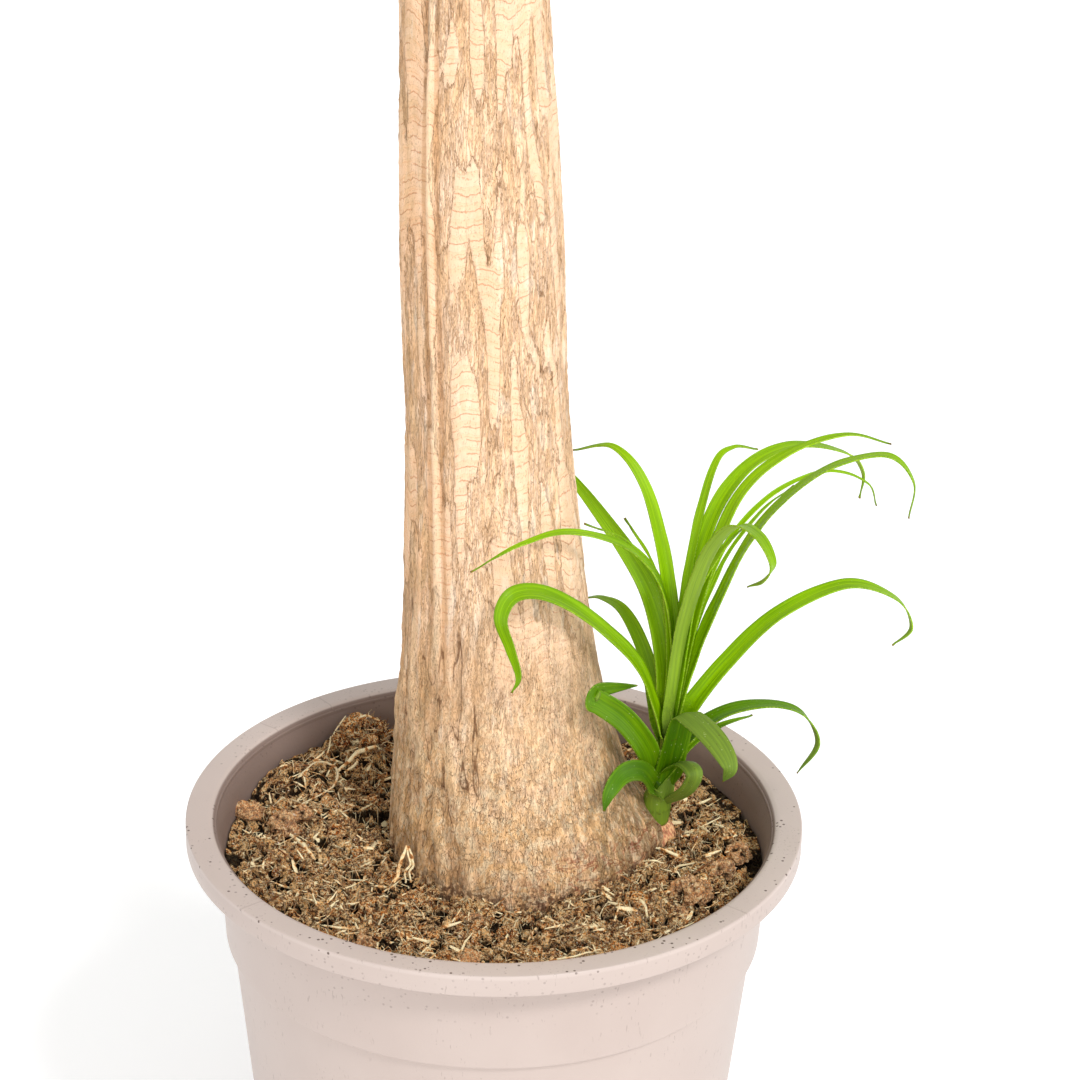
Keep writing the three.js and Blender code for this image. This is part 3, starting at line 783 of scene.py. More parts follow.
def make_soil():
    bottom = POT_FLOOR + DRAIN_RISE + 0.3
    edge = pot_inner_radius(SOIL_LEVEL - 8) - 0.3
    hidden = 40
    rings = 118
    sides = 600
    profile = [
        (0, bottom),
        (pot_inner_radius(bottom) - 0.3, bottom),
        (pot_inner_radius(STEP_HEIGHT - 2) - 0.3, STEP_HEIGHT - 2),
        (pot_inner_radius(STEP_HEIGHT + 1) - 0.3, STEP_HEIGHT + 1),
        (edge, SOIL_LEVEL - 12),
        *[(lerp(hidden, edge, i / rings), SOIL_LEVEL) for i in range(rings, -1, -1)],
        (hidden / 2, SOIL_LEVEL),
        (0, SOIL_LEVEL),
    ]
    bm = bmesh.new()
    turned(bm, profile, sides)
    rise, tint = soil_layers(bm)
    for vert in bm.verts:
        x, y, z = vert.co
        if z > SOIL_LEVEL - 1:
            vert.co.z = rough_soil_height(x, y)
            # Painted shade: low places get a low rise, which the finish paints dark, and the hollow left of
            # the trunk is painted darker still as shadow.
            hollow = math.exp(-(((x + 56) ** 2 + (y - 56) ** 2) / 18**2))
            vert[rise] = clamp(0.54 + soil_roughness(x, y) / 6.5 - 0.35 * hollow)
            vert[tint] = 0.5 + noise.noise(Vector((x, y, 7)) / 2.4)
    new_piece("soil_bed", bm, [soil_finish("potting soil")], ["soil"], smooth=False)


def open_soil(counter, reach=SOIL_REACH, clear=1):
    """A repeatable place on the soil that the trunk leaves free."""
    most_tries = 30
    between_tries = 977
    trunk_radius, lean = trunk_at(SOIL_LEVEL + 4)
    for attempt in range(most_tries):
        number = counter + attempt * between_tries
        radius = reach * math.sqrt(draw(number))
        angle = 2 * math.pi * draw(number + 0.37)
        x, y = radius * math.cos(angle), radius * math.sin(angle)
        if math.hypot(x - lean, y - TRUNK_Y) > trunk_radius + clear:
            break
    return x, y


def tumbled(place, sizes, seed, steepness=3.0):
    """The matrix that stretches a unit shape to three sizes, turns it at random and puts it at a place."""
    tips = (scatter(seed + 1, steepness), scatter(seed + 2, steepness), scatter(seed + 3, math.pi))
    turn = Euler(tips).to_matrix().to_4x4()
    return Matrix.Translation(place) @ turn @ Matrix.Diagonal((*sizes, 1))


def soil_layers(bm):
    """Every place on the soil knows how far it rises out of the hollows, for its painted shade, and how pale
    it is.
    """
    return bm.verts.layers.float.new("rise"), bm.verts.layers.float.new("tint")


def strew(name, count, finish, add_one, wobble, size):
    """A piece of many loose bits, each added by its number, in lots because small meshes are quick."""
    lot = 60
    whole = bmesh.new()
    soil_layers(whole)
    holder = bpy.data.meshes.new(name)
    for start in range(0, count, lot):
        bm = bmesh.new()
        rise, tint = soil_layers(bm)
        for i in range(start, min(start + lot, count)):
            for vert in add_one(bm, i):
                vert.co += noise.noise_vector(vert.co / size) * wobble
                # Loose bits lie on top, so they get no painted shade.
                vert[rise] = 0.8
                vert[tint] = draw(i + 0.61)
        bm.to_mesh(holder)
        bm.free()
        whole.from_mesh(holder)
    bpy.data.meshes.remove(holder)
    return new_piece(name, whole, [finish], smooth=False)


def add_crumb(bm, i):
    x, y = open_soil(i + 5000)
    size = 0.7 + 2.6 * draw(i + 71) ** 3
    sizes = [size * (0.6 + 0.8 * draw(i * 3 + k)) for k in range(3)]
    matrix = tumbled((x, y, rough_soil_height(x, y) + size * 0.2), sizes, i * 5 + 20)
    return bmesh.ops.create_icosphere(bm, subdivisions=1, radius=1, matrix=matrix)["verts"]


def add_flake(bm, i):
    """A flat angular flake of bark or peat, lying or half buried at any tilt."""
    x, y = open_soil(i + 7000)
    size = 0.8 + 2.6 * draw(i + 171) ** 2.5
    sizes = (size * 1.3, size * (0.4 + 0.5 * draw(i + 173)), size * 0.5)
    matrix = tumbled((x, y, rough_soil_height(x, y) + size * 0.25), sizes, i * 7 + 60, 0.9)
    return bmesh.ops.create_cone(
        bm, cap_ends=True, segments=5, radius1=1, radius2=0.75, depth=0.6, matrix=matrix
    )["verts"]


def make_crumbs():
    """Loose crumbs and flakes of the soil."""
    finish = soil_finish("soil crumbs", 0.1)
    strew("soil_crumbs", CRUMBS, finish, add_crumb, 0.8, 1.6)
    strew("soil_flakes", FLAKES, finish, add_flake, 0.5, 1.3)


# The pale clods that stand out on the surface: x, y, radius, height of the middle above the soil.
BIG_CLODS = [
    (-104, 21, 9, 1),
    (-95, 27, 6, 2),
    (-122, 34, 8, 0),
    (95, -41, 10, 1),
    (110, -28, 7, 3),
    (119, -6, 7, 2),
    (88, -58, 6, -1),
    (-11, -97, 6, 1),
    (-9, -62, 5, 0),
    (-60, -88, 6, 0),
    (35, -106, 5, 0),
    (92, 55, 8, 1),
    (50, 104, 7, 0),
]

# The brown lumps that make up the heap at the back left, given in the same way.
HEAP_LUMPS = [(-72, 98, 8, 4), (-62, 103, 7, 3), (-79, 91, 5, 3), (-54, 100, 6, 2), (-66, 91, 5, 3)]


def make_clods(name, clods, finish, fineness):
    """Rough lumps, each given as x, y, radius and height above the soil."""
    whole = bmesh.new()
    rise, tint = soil_layers(whole)
    for i, (x, y, radius, above) in enumerate(clods):
        sizes = (radius, radius * (0.7 + 0.3 * draw(i + 3)), radius * 0.6)
        centre = Vector((x, y, soil_height(x, y) + above))
        matrix = tumbled(centre, sizes, i * 9 + 700, 0.4)
        lump = bmesh.ops.create_icosphere(whole, subdivisions=fineness, radius=1, matrix=matrix)["verts"]
        for vert in lump:
            outward = (vert.co - centre).normalized()
            bump = noise.fractal(vert.co / 6, 0.7, 2.2, 4) * 0.3 * radius
            steps = flake(vert.co, 3.2) * 1.1 + flake(vert.co, 1.5) * 0.5
            vert.co += outward * (bump + steps)
            # Painted shade in the low parts of each clod, through the same rise value.
            vert[rise] = clamp(0.58 + bump / radius + steps * 0.22)
            vert[tint] = 0.5
    new_piece(name, whole, [finish], smooth=False)


def make_lumps():
    """The pale clods, the brown lumps of the heap, and small ones all over the soil."""
    make_clods("soil_clods", BIG_CLODS, soil_finish("pale clods", 0.3, rgb(250, 196, 150)), 4)
    small = [(*open_soil(i + 33000, 117, 5), 3 + 4.5 * draw(i + 35) ** 2, 0.6) for i in range(SMALL_LUMPS)]
    make_clods("soil_lumps", HEAP_LUMPS + small, soil_finish("brown lumps"), 3)


def straw_finish(name, dark=0.0):
    straw = Finish(name, Roughness=0.8, Specular_IOR_Level=0.2)
    place = straw.place()
    lots = straw.grain(place, 3.5, 2)
    grain = straw.grain(place, 0.6, 3)
    tone = straw.mix(lots.above(0.46, 0.1), rgb(255, 190, 112), rgb(255, 240, 196))
    tone = straw.mix(lots.below(0.41, 0.04) * 0.85, tone, rgb(146, 88, 46))
    tone = straw.mix(grain.below(0.42, 0.08) * 0.4, tone, rgb(160, 102, 56))
    tone = straw.mix(dark, tone, rgb(100, 54, 26))
    return straw.done(Base_Color=tone, Normal=straw.relief(grain, 0.3))


def make_strands(name, strands, finish):
    """Thin strands, each given as a row of (place, thickness)."""
    curve = bpy.data.curves.new(name, "CURVE")
    curve.dimensions = "3D"
    curve.bevel_depth = 0.5
    curve.bevel_resolution = 0
    curve.use_fill_caps = True
    for strand in strands:
        spline = curve.splines.new("POLY")
        spline.points.add(len(strand) - 1)
        for knot, (place, thickness) in zip(spline.points, strand):
            knot.co = (*place, 1)
            knot.radius = thickness
    holder = bpy.data.objects.new(name, curve)
    bm = bmesh.new()
    bm.from_mesh(bpy.data.meshes.new_from_object(holder))
    bpy.data.objects.remove(holder)
    return new_piece(name, bm, [finish])


def kept_in_pot(x, y):
    """The same place, or the nearest one on the soil."""
    away = math.hypot(x, y)
    return (x * SOIL_REACH / away, y * SOIL_REACH / away) if away > SOIL_REACH else (x, y)


def sliver(i, start, length, thickness, steepness, lift=0.0):
    """A nearly straight splinter that lies on the soil, or on a lump of it, or sticks out of it."""
    x, y = start
    heading = 2 * math.pi * draw(i + 9301)
    slope = scatter(i + 9402, steepness)
    bend = scatter(i + 9503, 0.35)
    place = Vector((x, y, rough_soil_height(x, y) + lift + 0.5 + 0.4 * length * max(0.0, slope)))
    strand = []
    for step in range(3):
        turn = heading + bend * step
        away = math.hypot(place.x, place.y)
        if away > SOIL_REACH:
            place.xy *= SOIL_REACH / away
        strand.append((place.copy(), thickness * (1, 0.9, 0.4)[step]))
        place += length / 2 * Vector((math.cos(turn), math.sin(turn), slope))
        place.z = max(place.z, rough_soil_height(place.x, place.y) + 0.3)
    return strand


def rootlet(i, length, thickness, lift):
    """A curly root fibre on the soil."""
    x, y = open_soil(i + 9000, 122)
    heading = 2 * math.pi * draw(i + 9701)
    bend = scatter(i + 9802, 2.4)
    steps = 5
    strand = []
    for step in range(steps + 1):
        share = step / steps
        turn = heading + bend * share + 0.9 * noise.noise(Vector((i * 3.1, share * 3, 0)))
        x += length / steps * math.cos(turn)
        y += length / steps * math.sin(turn)
        x, y = kept_in_pot(x, y)
        up = rough_soil_height(x, y) + 0.5 + lift * math.sin(2.2 * share + draw(i))
        taper = 0.5 + 0.5 * math.sin(math.pi * min(1, 0.15 + share))
        strand.append((Vector((x, y, up)), thickness * taper))
    return strand


def through(points, thickness, steps, wobble):
    """A strand through a few places, thinner at its ends."""
    curve = SmoothCurve(points)
    strand = []
    for step in range(steps + 1):
        share = step / steps
        place = curve.at(share)
        place += noise.noise_vector(place / 4) * wobble
        strand.append((place, thickness * (0.5 + 0.5 * math.sin(math.pi * clamp(share, 0.12, 0.88)))))
    return strand


# A brown root that curls into a loop, and long pale straws: the places that each one runs through, its
# thickness, its steps and how far it wavers.
LOOP_ROOT = ([(-99, 53, 238), (-90, 60, 243), (-80, 54, 243), (-81, 40, 240), (-96, 29, 236)], 1.4, 16, 0.3)
STRAWS = [
    ([(-79, 64, 236), (-70, 75, 240), (-61, 82, 241)], 3.0, 12, 0.9),
    ([(-76, 62, 236), (-71, 66, 238), (-70, 72, 238)], 1.8, 8, 0.6),
    ([(-96, 66, 236), (-91, 70, 239), (-87, 76, 240)], 1.6, 8, 0.6),
    ([(-100, 6, 232), (-92, -8, 233), (-87, -17, 232)], 2.8, 12, 0.9),
    ([(-84, 92, 240), (-80, 95, 246), (-77, 95, 251)], 1.1, 8, 0.6),
    ([(-74, 97, 246), (-67, 99, 249), (-60, 101, 245)], 1.5, 8, 0.6),
    ([(66, -52, 233), (71, -60, 236), (73, -70, 234)], 1.7, 10, 0.6),
    ([(20, -108, 231), (38, -104, 233), (50, -96, 232)], 1.2, 10, 0.6),
    ([(72, -26, 238), (77, -30, 241), (82, -27, 238)], 1.1, 8, 0.6),
]


def heap_sliver(i):
    """A splinter on the heap at the back left, lifted the more the nearer it is to the top."""
    x = -70 + scatter(i + 31, 16)
    y = 99 + scatter(i + 32, 10)
    lift = 6.5 * draw(i + 35) * math.exp(-(((x + 68) / 12) ** 2) - ((y - 98) / 10) ** 2)
    return sliver(i + 50000, (x, y), 3 + 6 * draw(i + 33), 0.5 + 0.9 * draw(i + 34) ** 2, 0.8, lift)


def coarse_sliver(i):
    """A splinter of straw that is large enough to see one by one."""
    start = open_soil(i + 61000, 120)
    return sliver(i + 60000, start, 5 + 9 * draw(i + 82), 1 + 1.2 * draw(i + 83), 0.35)


def make_fibres():
    """The straws, splinters and root fibres in the soil, in a pale, a brown and a dark lot."""
    pale = []
    brown = []
    dark = []
    for i in range(SPLINTERS):
        length = 2 + 9 * draw(i + 301) ** 2.2
        thickness = 0.32 + 0.95 * draw(i + 401) ** 2.4
        lot = (pale, pale, pale, brown, dark, dark)[int(6 * draw(i + 601))]
        lot.append(sliver(i, open_soil(i + 20000, 123), length, thickness, 0.75))
    for i in range(HEAP_SPLINTERS):
        lot = (pale, brown, dark, dark)[int(4 * draw(i + 603))]
        lot.append(heap_sliver(i))
    for i in range(CURLY_ROOTS):
        lot = brown if draw(i + 605) < 0.5 else pale
        lot.append(rootlet(i, 5 + 9 * draw(i + 77), 0.28 + 0.25 * draw(i + 78), 1.6 * draw(i + 79)))
    pale += [coarse_sliver(i) for i in range(COARSE_STRAWS)]
    brown.append(through(*LOOP_ROOT))
    pale += [through(*straw) for straw in STRAWS]
    make_strands("soil_fibres", pale, straw_finish("straw and root fibres"))
    make_strands("brown_fibres", brown, straw_finish("brown fibres", 0.35))
    make_strands("dark_fibres", dark, straw_finish("dark fibres", 0.8))


def add_chip(bm, i):
    x, y = open_soil(i + 12000, 120)
    length = 2 + 5 * draw(i + 13) ** 2
    sizes = (length, 0.6 + 1.1 * draw(i + 15), 0.4)
    matrix = tumbled((x, y, rough_soil_height(x, y) + 0.8), sizes, i + 31, 0.6)
    return bmesh.ops.create_icosphere(bm, subdivisions=1, radius=1, matrix=matrix)["verts"]


def make_chips():
    """Flat splinters of wood in the soil."""
    strew("soil_chips", WOOD_CHIPS, straw_finish("wood splinters"), add_chip, 0.7, 2.0)


def make_rootlets():
    """The tuft of pale rootlets that curls out of the trunk's foot."""
    strands = []
    for i in range(TUFT_ROOTLETS):
        side = scatter(i + 61, 1)
        curl = scatter(i + 67, 1)
        strands.append(
            through(
                [
                    (-41 + side * 0.8, -34.5, 250 - 1.5 * draw(i + 3)),
                    (-40.5 + side * 2.6 + curl, -37.5, 246.5),
                    (-41.5 + side * 4.5 - curl * 1.5, -39, 242),
                    (-42 + side * 3.5 + curl * 2, -40.5, 238),
                    (-43 + side * 6, -42 + side, 235.5 - 2 * draw(i + 5)),
                ],
                0.9 + 0.5 * draw(i + 9),
                14,
                0.9,
            )
        )
    make_strands("rootlets", strands, straw_finish("rootlets"))


# ---------------------------------------------------------------- leaves

# The side shoot's leaves, each in one upright plane: heading in degrees from +X, width, how blunt the blade
# ends, how far it is rolled about its spine at its foot and at its tip in degrees, and the spine's points as
# (out from the stem, up from its foot).
SHOOT_LEAVES = [
    (-60, 11.5, 2.4, 40, -50, [
        (0, 44), (2, 75), (9, 115), (25, 157), (46, 182), (66, 186), (79, 177), (73, 166), (60, 157),
    ]),
    (-20, 8.6, 2.6, 60, -25, [
        (0, 46), (5, 76), (18, 120), (38, 168), (66, 202), (97, 217), (112, 206), (111, 187),
    ]),
    (8, 7.2, 2.6, 62, -10, [(0, 50), (3, 84), (13, 134), (28, 178), (50, 199), (78, 208), (101, 202)]),
    (30, 7.6, 2.6, 55, -20, [
        (0, 50), (4, 86), (13, 150), (32, 183), (62, 193), (94, 183), (106, 170), (105, 156),
    ]),
    (20, 2.6, 2.6, 60, 14, [(0, 52), (8, 104), (22, 146), (46, 173), (76, 182), (98, 173), (104, 160)]),
    (35, 2.4, 2.6, 52, 12, [(0, 52), (9, 96), (26, 135), (48, 158), (70, 168)]),
    (30, 4.4, 2.6, 55, 12, [(0, 54), (2, 100), (8, 151), (18, 191), (29, 199), (43, 195)]),
    (140, 7.2, 2.6, -49, -11, [(0, 50), (0, 92), (7, 140), (21, 178), (41, 193), (66, 184)]),
    (135, 11, 2.6, -45, -10, [(0, 46), (4, 84), (15, 119), (36, 141), (69, 164), (88, 172)]),
    (215, 5.2, 2.6, -52, -11, [(0, 50), (1, 92), (9, 133), (30, 160), (64, 177), (93, 178), (120, 171)]),
    (195, 2.2, 2.6, -62, -14, [(0, 52), (1, 105), (9, 138), (26, 159), (47, 170)]),
    (120, 1.8, 2.6, -32, -7, [(0, 52), (7, 108), (21, 134), (49, 148)]),
    (218, 9, 3.2, -58, -20, [
        (0, 38), (8, 60), (23, 96), (50, 127), (79, 150),
        (99, 156), (107, 146), (101, 128), (96, 112), (100, 105),
    ]),
    (128, 7.6, 2.6, -39, -9, [(0, 38), (12, 62), (21, 86), (38, 103), (56, 104), (70, 98)]),
    (228, 11.5, 5, -114, -70, [
        (0, 14), (7, 30), (17, 50), (36, 73), (54, 89), (60.5, 93.5), (57.5, 96.5), (43, 93), (27, 88),
    ]),
    (-65, 12.5, 6, -40, 52, [(3, 16), (5.5, 34), (8, 54), (12, 68), (24, 71), (46, 70), (60, 64), (56, 54)]),
    (-15, 9.2, 3, 64, -60, [(0, 20), (8, 48), (24, 66), (46, 75), (64, 73), (73, 58), (66, 40)]),
    (20, 4, 2.6, 60, 13, [(0, 24), (12, 43), (28, 52), (44, 55)]),
    (5, 8.6, 3, 66, -25, [
        (0, 42), (8, 65), (26, 91), (50, 116), (82, 131), (107, 123), (116, 107), (107, 97),
    ]),
    (-60, 8.4, 4, -40, 75, [(0, 12), (4, 31), (15, 43), (26, 42), (22, 31), (10, 20), (0, 12)]),
    (240, 10, 5, -110, -25, [(0, 12), (10, 28), (26, 43), (46, 51), (58, 47), (62, 38)]),
    (-12, 6.6, 2.6, 62, 14, [(0, 48), (3, 84), (9, 128), (20, 152), (30, 166)]),
]

# How far up from its foot a leaf of the shoot still clasps the stem.
CLASP = 20

# The two leaves that are folded over forwards, so that they show their upper face on the way up.
FOLDED_LEAVES = (15, 19)


def leaf_breadth(along, bluntness, foot=0.8):
    """A leaf's width as a share of its widest place: clasping at the foot, with a long fine tip."""
    return lerp(foot, 1, smoothstep(along, 0, 0.25)) * (1 - along**bluntness) + 0.05 * (1 - along)


def blade_layers(bm):
    """What a place on a blade knows: its side from -1 to 1, its share of the length, its way along in
    millimetres, half the blade's width, and its age."""
    return [bm.verts.layers.float.new(name) for name in ("side", "along", "reach", "half", "age")]


def mark(vert, layers, *values):
    """Tells a place on a blade its five values."""
    for layer, value in zip(layers, values):
        vert[layer] = value


def add_blade(
    bm, layers, curve, heading, width, roll, age, size,
    cup=0.35, crease=0.0, ripple=0.0, seed=0, clasp=None, bluntness=2.6, foot=0.8,
):
    """A strap leaf along a curve: a grid bent to a shallow channel, rolled about its spine.

    clasp, where it is given, places the blade's foot around the stem by its side and its way along."""
    columns, rows = size
    made = bmesh.ops.create_grid(bm, x_segments=columns, y_segments=rows, size=1)["verts"]
    level = Vector((-math.sin(heading), math.cos(heading), 0))
    frames = []
    reach = 0.0
    for row in range(rows + 1):
        along = row / rows
        centre = curve.at(along)
        forward = curve.direction(along)
        across = Matrix.Rotation(roll(along), 3, forward) @ level
        above = forward.cross(across).normalized()
        if frames:
            reach += (centre - frames[-1][0]).length
        frames.append((centre, across, above, reach))
    for vert in made:
        side = vert.co.x
        along = (vert.co.y + 1) / 2
        centre, across, above, reach = frames[round(along * rows)]
        half = width * leaf_breadth(along, bluntness, foot) / 2
        bend = lerp(side * side, abs(side), crease)
        lift = half * cup * (1 - along) * bend
        wave = ripple * side * side * noise.noise(Vector((reach / 17, side * 2, seed * 7.7)))
        vert.co = centre + across * (side * half) + above * (lift + wave)
        if clasp and reach < CLASP:
            vert.co = clasp(side, reach).lerp(vert.co, smoothstep(reach, 0.25 * CLASP, CLASP))
        # Painted shade: the foot of a clasping leaf is darkened, through its age, where the leaves crowd
        # round the stem.
        age_and_crowded_shade = max(age, 0.75 * (1 - smoothstep(reach, 4, 42))) if clasp else age
        mark(vert, layers, side, along, reach, width / 2, age_and_crowded_shade)


def leaf_finish(name, young, old, underside=False):
    """Satin leaf with fine lengthways veins, a thin pale toothed edge and a dry tip, coloured by its age."""
    leaf = Finish(name, Specular_IOR_Level=0.18)
    side = leaf.attribute("side")
    along = leaf.attribute("along")
    reach = leaf.attribute("reach")
    half = leaf.attribute("half")
    age = leaf.attribute("age")
    over = side * half
    veins = leaf.grain(leaf.vector(over, reach * 0.012, age * 61), 0.42, 2, 0.5)
    furrows = leaf.grain(leaf.vector(over, reach * 0.01, age * 37), 1.2, 1)
    patches = leaf.grain(leaf.vector(over * 0.4, reach * 0.2, age * 83), 8, 3)
    specks = leaf.cells(leaf.vector(over, reach * 0.6, age * 29), 2.2).below(0.1, 0.03)
    scars = leaf.grain(leaf.vector(over, reach, age * 97), 2.0, 3).above(0.71, 0.02)
    edge = (side * side).above(0.955, 0.02)
    teeth = leaf.grain(leaf.vector(side, reach, age * 41), 0.7, 1).above(0.52, 0.1)

    tone = leaf.mix((age + (patches - 0.5) * 0.6).clipped(), young, old)
    tone = leaf.mix(veins.above(0.5, 0.12) * 0.5, tone, leaf.mix(0.6, tone, rgb(26, 62, 0)))
    # The lengthways furrows are darker, partly in colour and partly as painted shade, and the ridges between
    # them get a painted yellow highlight.
    tone = leaf.mix(furrows.below(0.46, 0.16) * 0.22, tone, leaf.mix(0.6, tone, rgb(30, 70, 0)))
    tone = leaf.mix(furrows.above(0.54, 0.14) * 0.12, tone, leaf.mix(0.6, tone, rgb(206, 232, 10)))
    if underside:
        tone = leaf.mix(0.22, tone, rgb(160, 172, 96))
    tone = leaf.mix(edge * teeth * 0.4, tone, rgb(196, 214, 90))
    tone = leaf.mix(specks * (0.1 + age * 0.4), tone, rgb(206, 216, 150))
    tone = leaf.mix(scars * (age * 0.8).clipped(), tone, rgb(84, 58, 22))
    tone = leaf.mix(along.above(0.9, 0.08) * 0.35, tone, rgb(50, 90, 10))
    tone = leaf.mix(along.above(0.992, 0.006) * 0.8, tone, rgb(150, 112, 52))
    tone = leaf.mix(reach.below(5, 5) * 0.25, tone, rgb(150, 190, 30))
    gloss = 0.34 + patches * 0.14 + (0.16 if underside else 0.0)
    return leaf.done(Base_Color=tone, Roughness=gloss, Normal=leaf.relief(veins + furrows * 0.8, 0.16))


def thicken(piece, thickness):
    """Gives a blade its thickness, with the second finish below."""
    skin = piece.modifiers.new("thickness", "SOLIDIFY")
    skin.thickness = thickness * MM
    skin.offset = -1
    skin.material_offset = 1
    skin.material_offset_rim = 0


def shoot_curve(heading, spine):
    points = []
    for out, up in spine:
        lean = SHOOT_LEAN * min(up, STEM_LENGTH)
        points.append(SHOOT_FOOT + Vector((lean + out * math.cos(heading), out * math.sin(heading), up)))
    return SmoothCurve(points)


def make_shoot_leaves():
    """The side shoot's leaves, with their upper face up, or out where they are folded over."""
    bm = bmesh.new()
    layers = blade_layers(bm)
    for i, (degrees, width, bluntness, foot_roll, tip_roll, spine) in enumerate(SHOOT_LEAVES):
        heading = math.radians(degrees)
        foot = spine[0][1]
        sink = 9 if foot < 13 else 3

        def clasp(side, reach):
            up = foot + 0.92 * reach - sink * (1 - reach / CLASP)
            around = heading + side * math.radians(lerp(110, 60, reach / CLASP))
            return on_stem(up, around, stem_radius(up) + 0.3 + 1.5 * (1 - foot / 54))

        age = clamp(1.0 - (foot - 12) / 34) * 0.85 + 0.2 * draw(i + 5)
        made = len(bm.faces)
        folded = i in FOLDED_LEAVES
        add_blade(
            bm, layers, shoot_curve(heading, spine), heading, width,
            lambda along: math.radians(lerp(foot_roll, tip_roll, along)),
            age, (10, 12 * len(spine)), cup=-0.4 if folded else 0.4, crease=0.4, ripple=0.5, seed=i,
            clasp=clasp if width > 5 else None, bluntness=bluntness, foot=1.15 if width > 5 else 0.8,
        )
        if not folded:
            bm.faces.ensure_lookup_table()
            bmesh.ops.reverse_faces(bm, faces=bm.faces[made:])
    upper = leaf_finish("young leaf, upper face", rgb(148, 197, 0), rgb(80, 128, 0))
    lower = leaf_finish("young leaf, underside", rgb(146, 188, 6), rgb(100, 136, 26), True)
    leaves = new_piece("shoot_leaves", bm, [upper, lower], ["side_shoot"])
    thicken(leaves, LEAF_THICKNESS)


def on_stem(up, angle, radius):
    """A place around the shoot's stem."""
    around = Vector((radius * math.cos(angle), radius * math.sin(angle), up))
    return SHOOT_FOOT + around + Vector((SHOOT_LEAN * up, 0, 0))


def stem_radius(up):
    return 4.5 + 0.8 * smoothstep(up, 0, 14) - 2.8 * smoothstep(up, 22, 44)


def make_stem():
    """The shoot's short stem."""
    bm = bmesh.new()
    layers = blade_layers(bm)
    heights = [-9, *range(0, 63, 3)]
    profile = [(0, -9), *[(stem_radius(up), up) for up in heights], (0, 65)]
    turned(bm, profile, 48)
    for vert in bm.verts:
        up = vert.co.z
        angle = math.atan2(vert.co.y, vert.co.x)
        side = 0.9 * math.atan2(vert.co.x, -vert.co.y) / math.pi
        mark(vert, layers, side, 0.3, up + 10, 17, clamp(0.9 - up / 90))
        fluting = 1 + 0.05 * math.sin(4 * angle + up / 7)
        vert.co = on_stem(up, angle, math.hypot(vert.co.x, vert.co.y) * fluting)
    bmesh.ops.recalc_face_normals(bm, faces=bm.faces)
    finish = leaf_finish("young stem", rgb(112, 164, 0), rgb(44, 86, 0))
    new_piece("shoot_stem", bm, [finish], ["side_shoot"])


# The sheaths at the stem's foot: heading, how far round it reaches to either side in degrees, how low its
# point is, how far its lower edge climbs to the sides, height, age at its lower edge and at its top. The
# greater age at the top is painted shade under the leaves above.
SHEATHS = [
    (90, 110, 1, 2, 24, 0.7, 1.0),
    (208, 100, 3, 6, 24, 0.95, 1.0),
    (-60, 100, -3, 11, 22, 0.2, 0.6),
]


def make_sheaths():
    """The broad leaf feet that wrap the lowest part of the stem."""
    bm = bmesh.new()
    layers = blade_layers(bm)
    for i, (degrees, spread, low, climb, tall, age, top_age_and_shade) in enumerate(SHEATHS):
        heading = math.radians(degrees)
        for vert in bmesh.ops.create_grid(bm, x_segments=32, y_segments=16, size=1)["verts"]:
            side = vert.co.x
            share = (vert.co.y + 1) / 2
            angle = heading + side * math.radians(lerp(spread, spread * 0.6, share))
            jag = 1.2 * noise.noise(Vector((side * 3, i * 3.3, 0))) * (1 - share)
            foot = low + climb * abs(side) ** 0.8
            up = lerp(foot + jag, foot + tall * (1 - 0.3 * side * side), share)
            radius = stem_radius(up) + 0.6 + 0.4 * i + 0.3 * share
            vert.co = on_stem(up, angle, radius)
            # The age rises towards the top, which paints shade under the leaves above.
            mark(vert, layers, side, 0.3 * share, 4 + share * tall, 9, lerp(age, top_age_and_shade, share))
    upper = leaf_finish("sheath, outside", rgb(150, 200, 0), rgb(48, 88, 2))
    lower = leaf_finish("sheath, inside", rgb(170, 200, 60), rgb(110, 146, 50), True)
    sheaths = new_piece("shoot_sheaths", bm, [upper, lower], ["side_shoot"])
    thicken(sheaths, SHEATH_THICKNESS)


def husk_finish():
    husk = Finish("dry husk", Roughness=0.75)
    place = husk.place()
    streaks = husk.grain(husk.place((1, 1, 0.2)), 1.1, 3)
    spots = husk.grain(place, 2.2, 3).above(0.56, 0.05)
    tone = husk.mix(streaks.above(0.5, 0.12), rgb(206, 130, 96), rgb(246, 196, 142))
    tone = husk.mix(spots * 0.6, tone, rgb(128, 66, 40))
    return husk.done(Base_Color=tone, Normal=husk.relief(streaks, 0.5))


def make_husk():
    """The dry brown collar from which the shoot breaks out of the trunk."""
    profile = [(0, -8), (10.6, -7), (11.4, -4), (10.0, -0.8), (8.2, 1.6), (6.8, 3.0), (5.2, 3.4), (0, 3.0)]
    bm = bmesh.new()
    turned(bm, profile, 64)
    bmesh.ops.subdivide_edges(bm, edges=bm.edges, cuts=2, use_grid_fill=True, smooth=0.7)
    for vert in bm.verts:
        angle = math.atan2(vert.co.y, vert.co.x)
        folds = 1 + 0.09 * noise.noise(Vector((math.cos(angle) * 3, math.sin(angle) * 3, vert.co.z / 9)))
        vert.co.x *= folds
        vert.co.y *= folds
        vert.co += noise.noise_vector(vert.co / 1.6) * 0.35
        vert.co = on_stem(vert.co.z, math.atan2(vert.co.y, vert.co.x), math.hypot(vert.co.x, vert.co.y))
    bmesh.ops.recalc_face_normals(bm, faces=bm.faces)
    new_piece("shoot_husk", bm, [husk_finish()])


# ---------------------------------------------------------------- crown

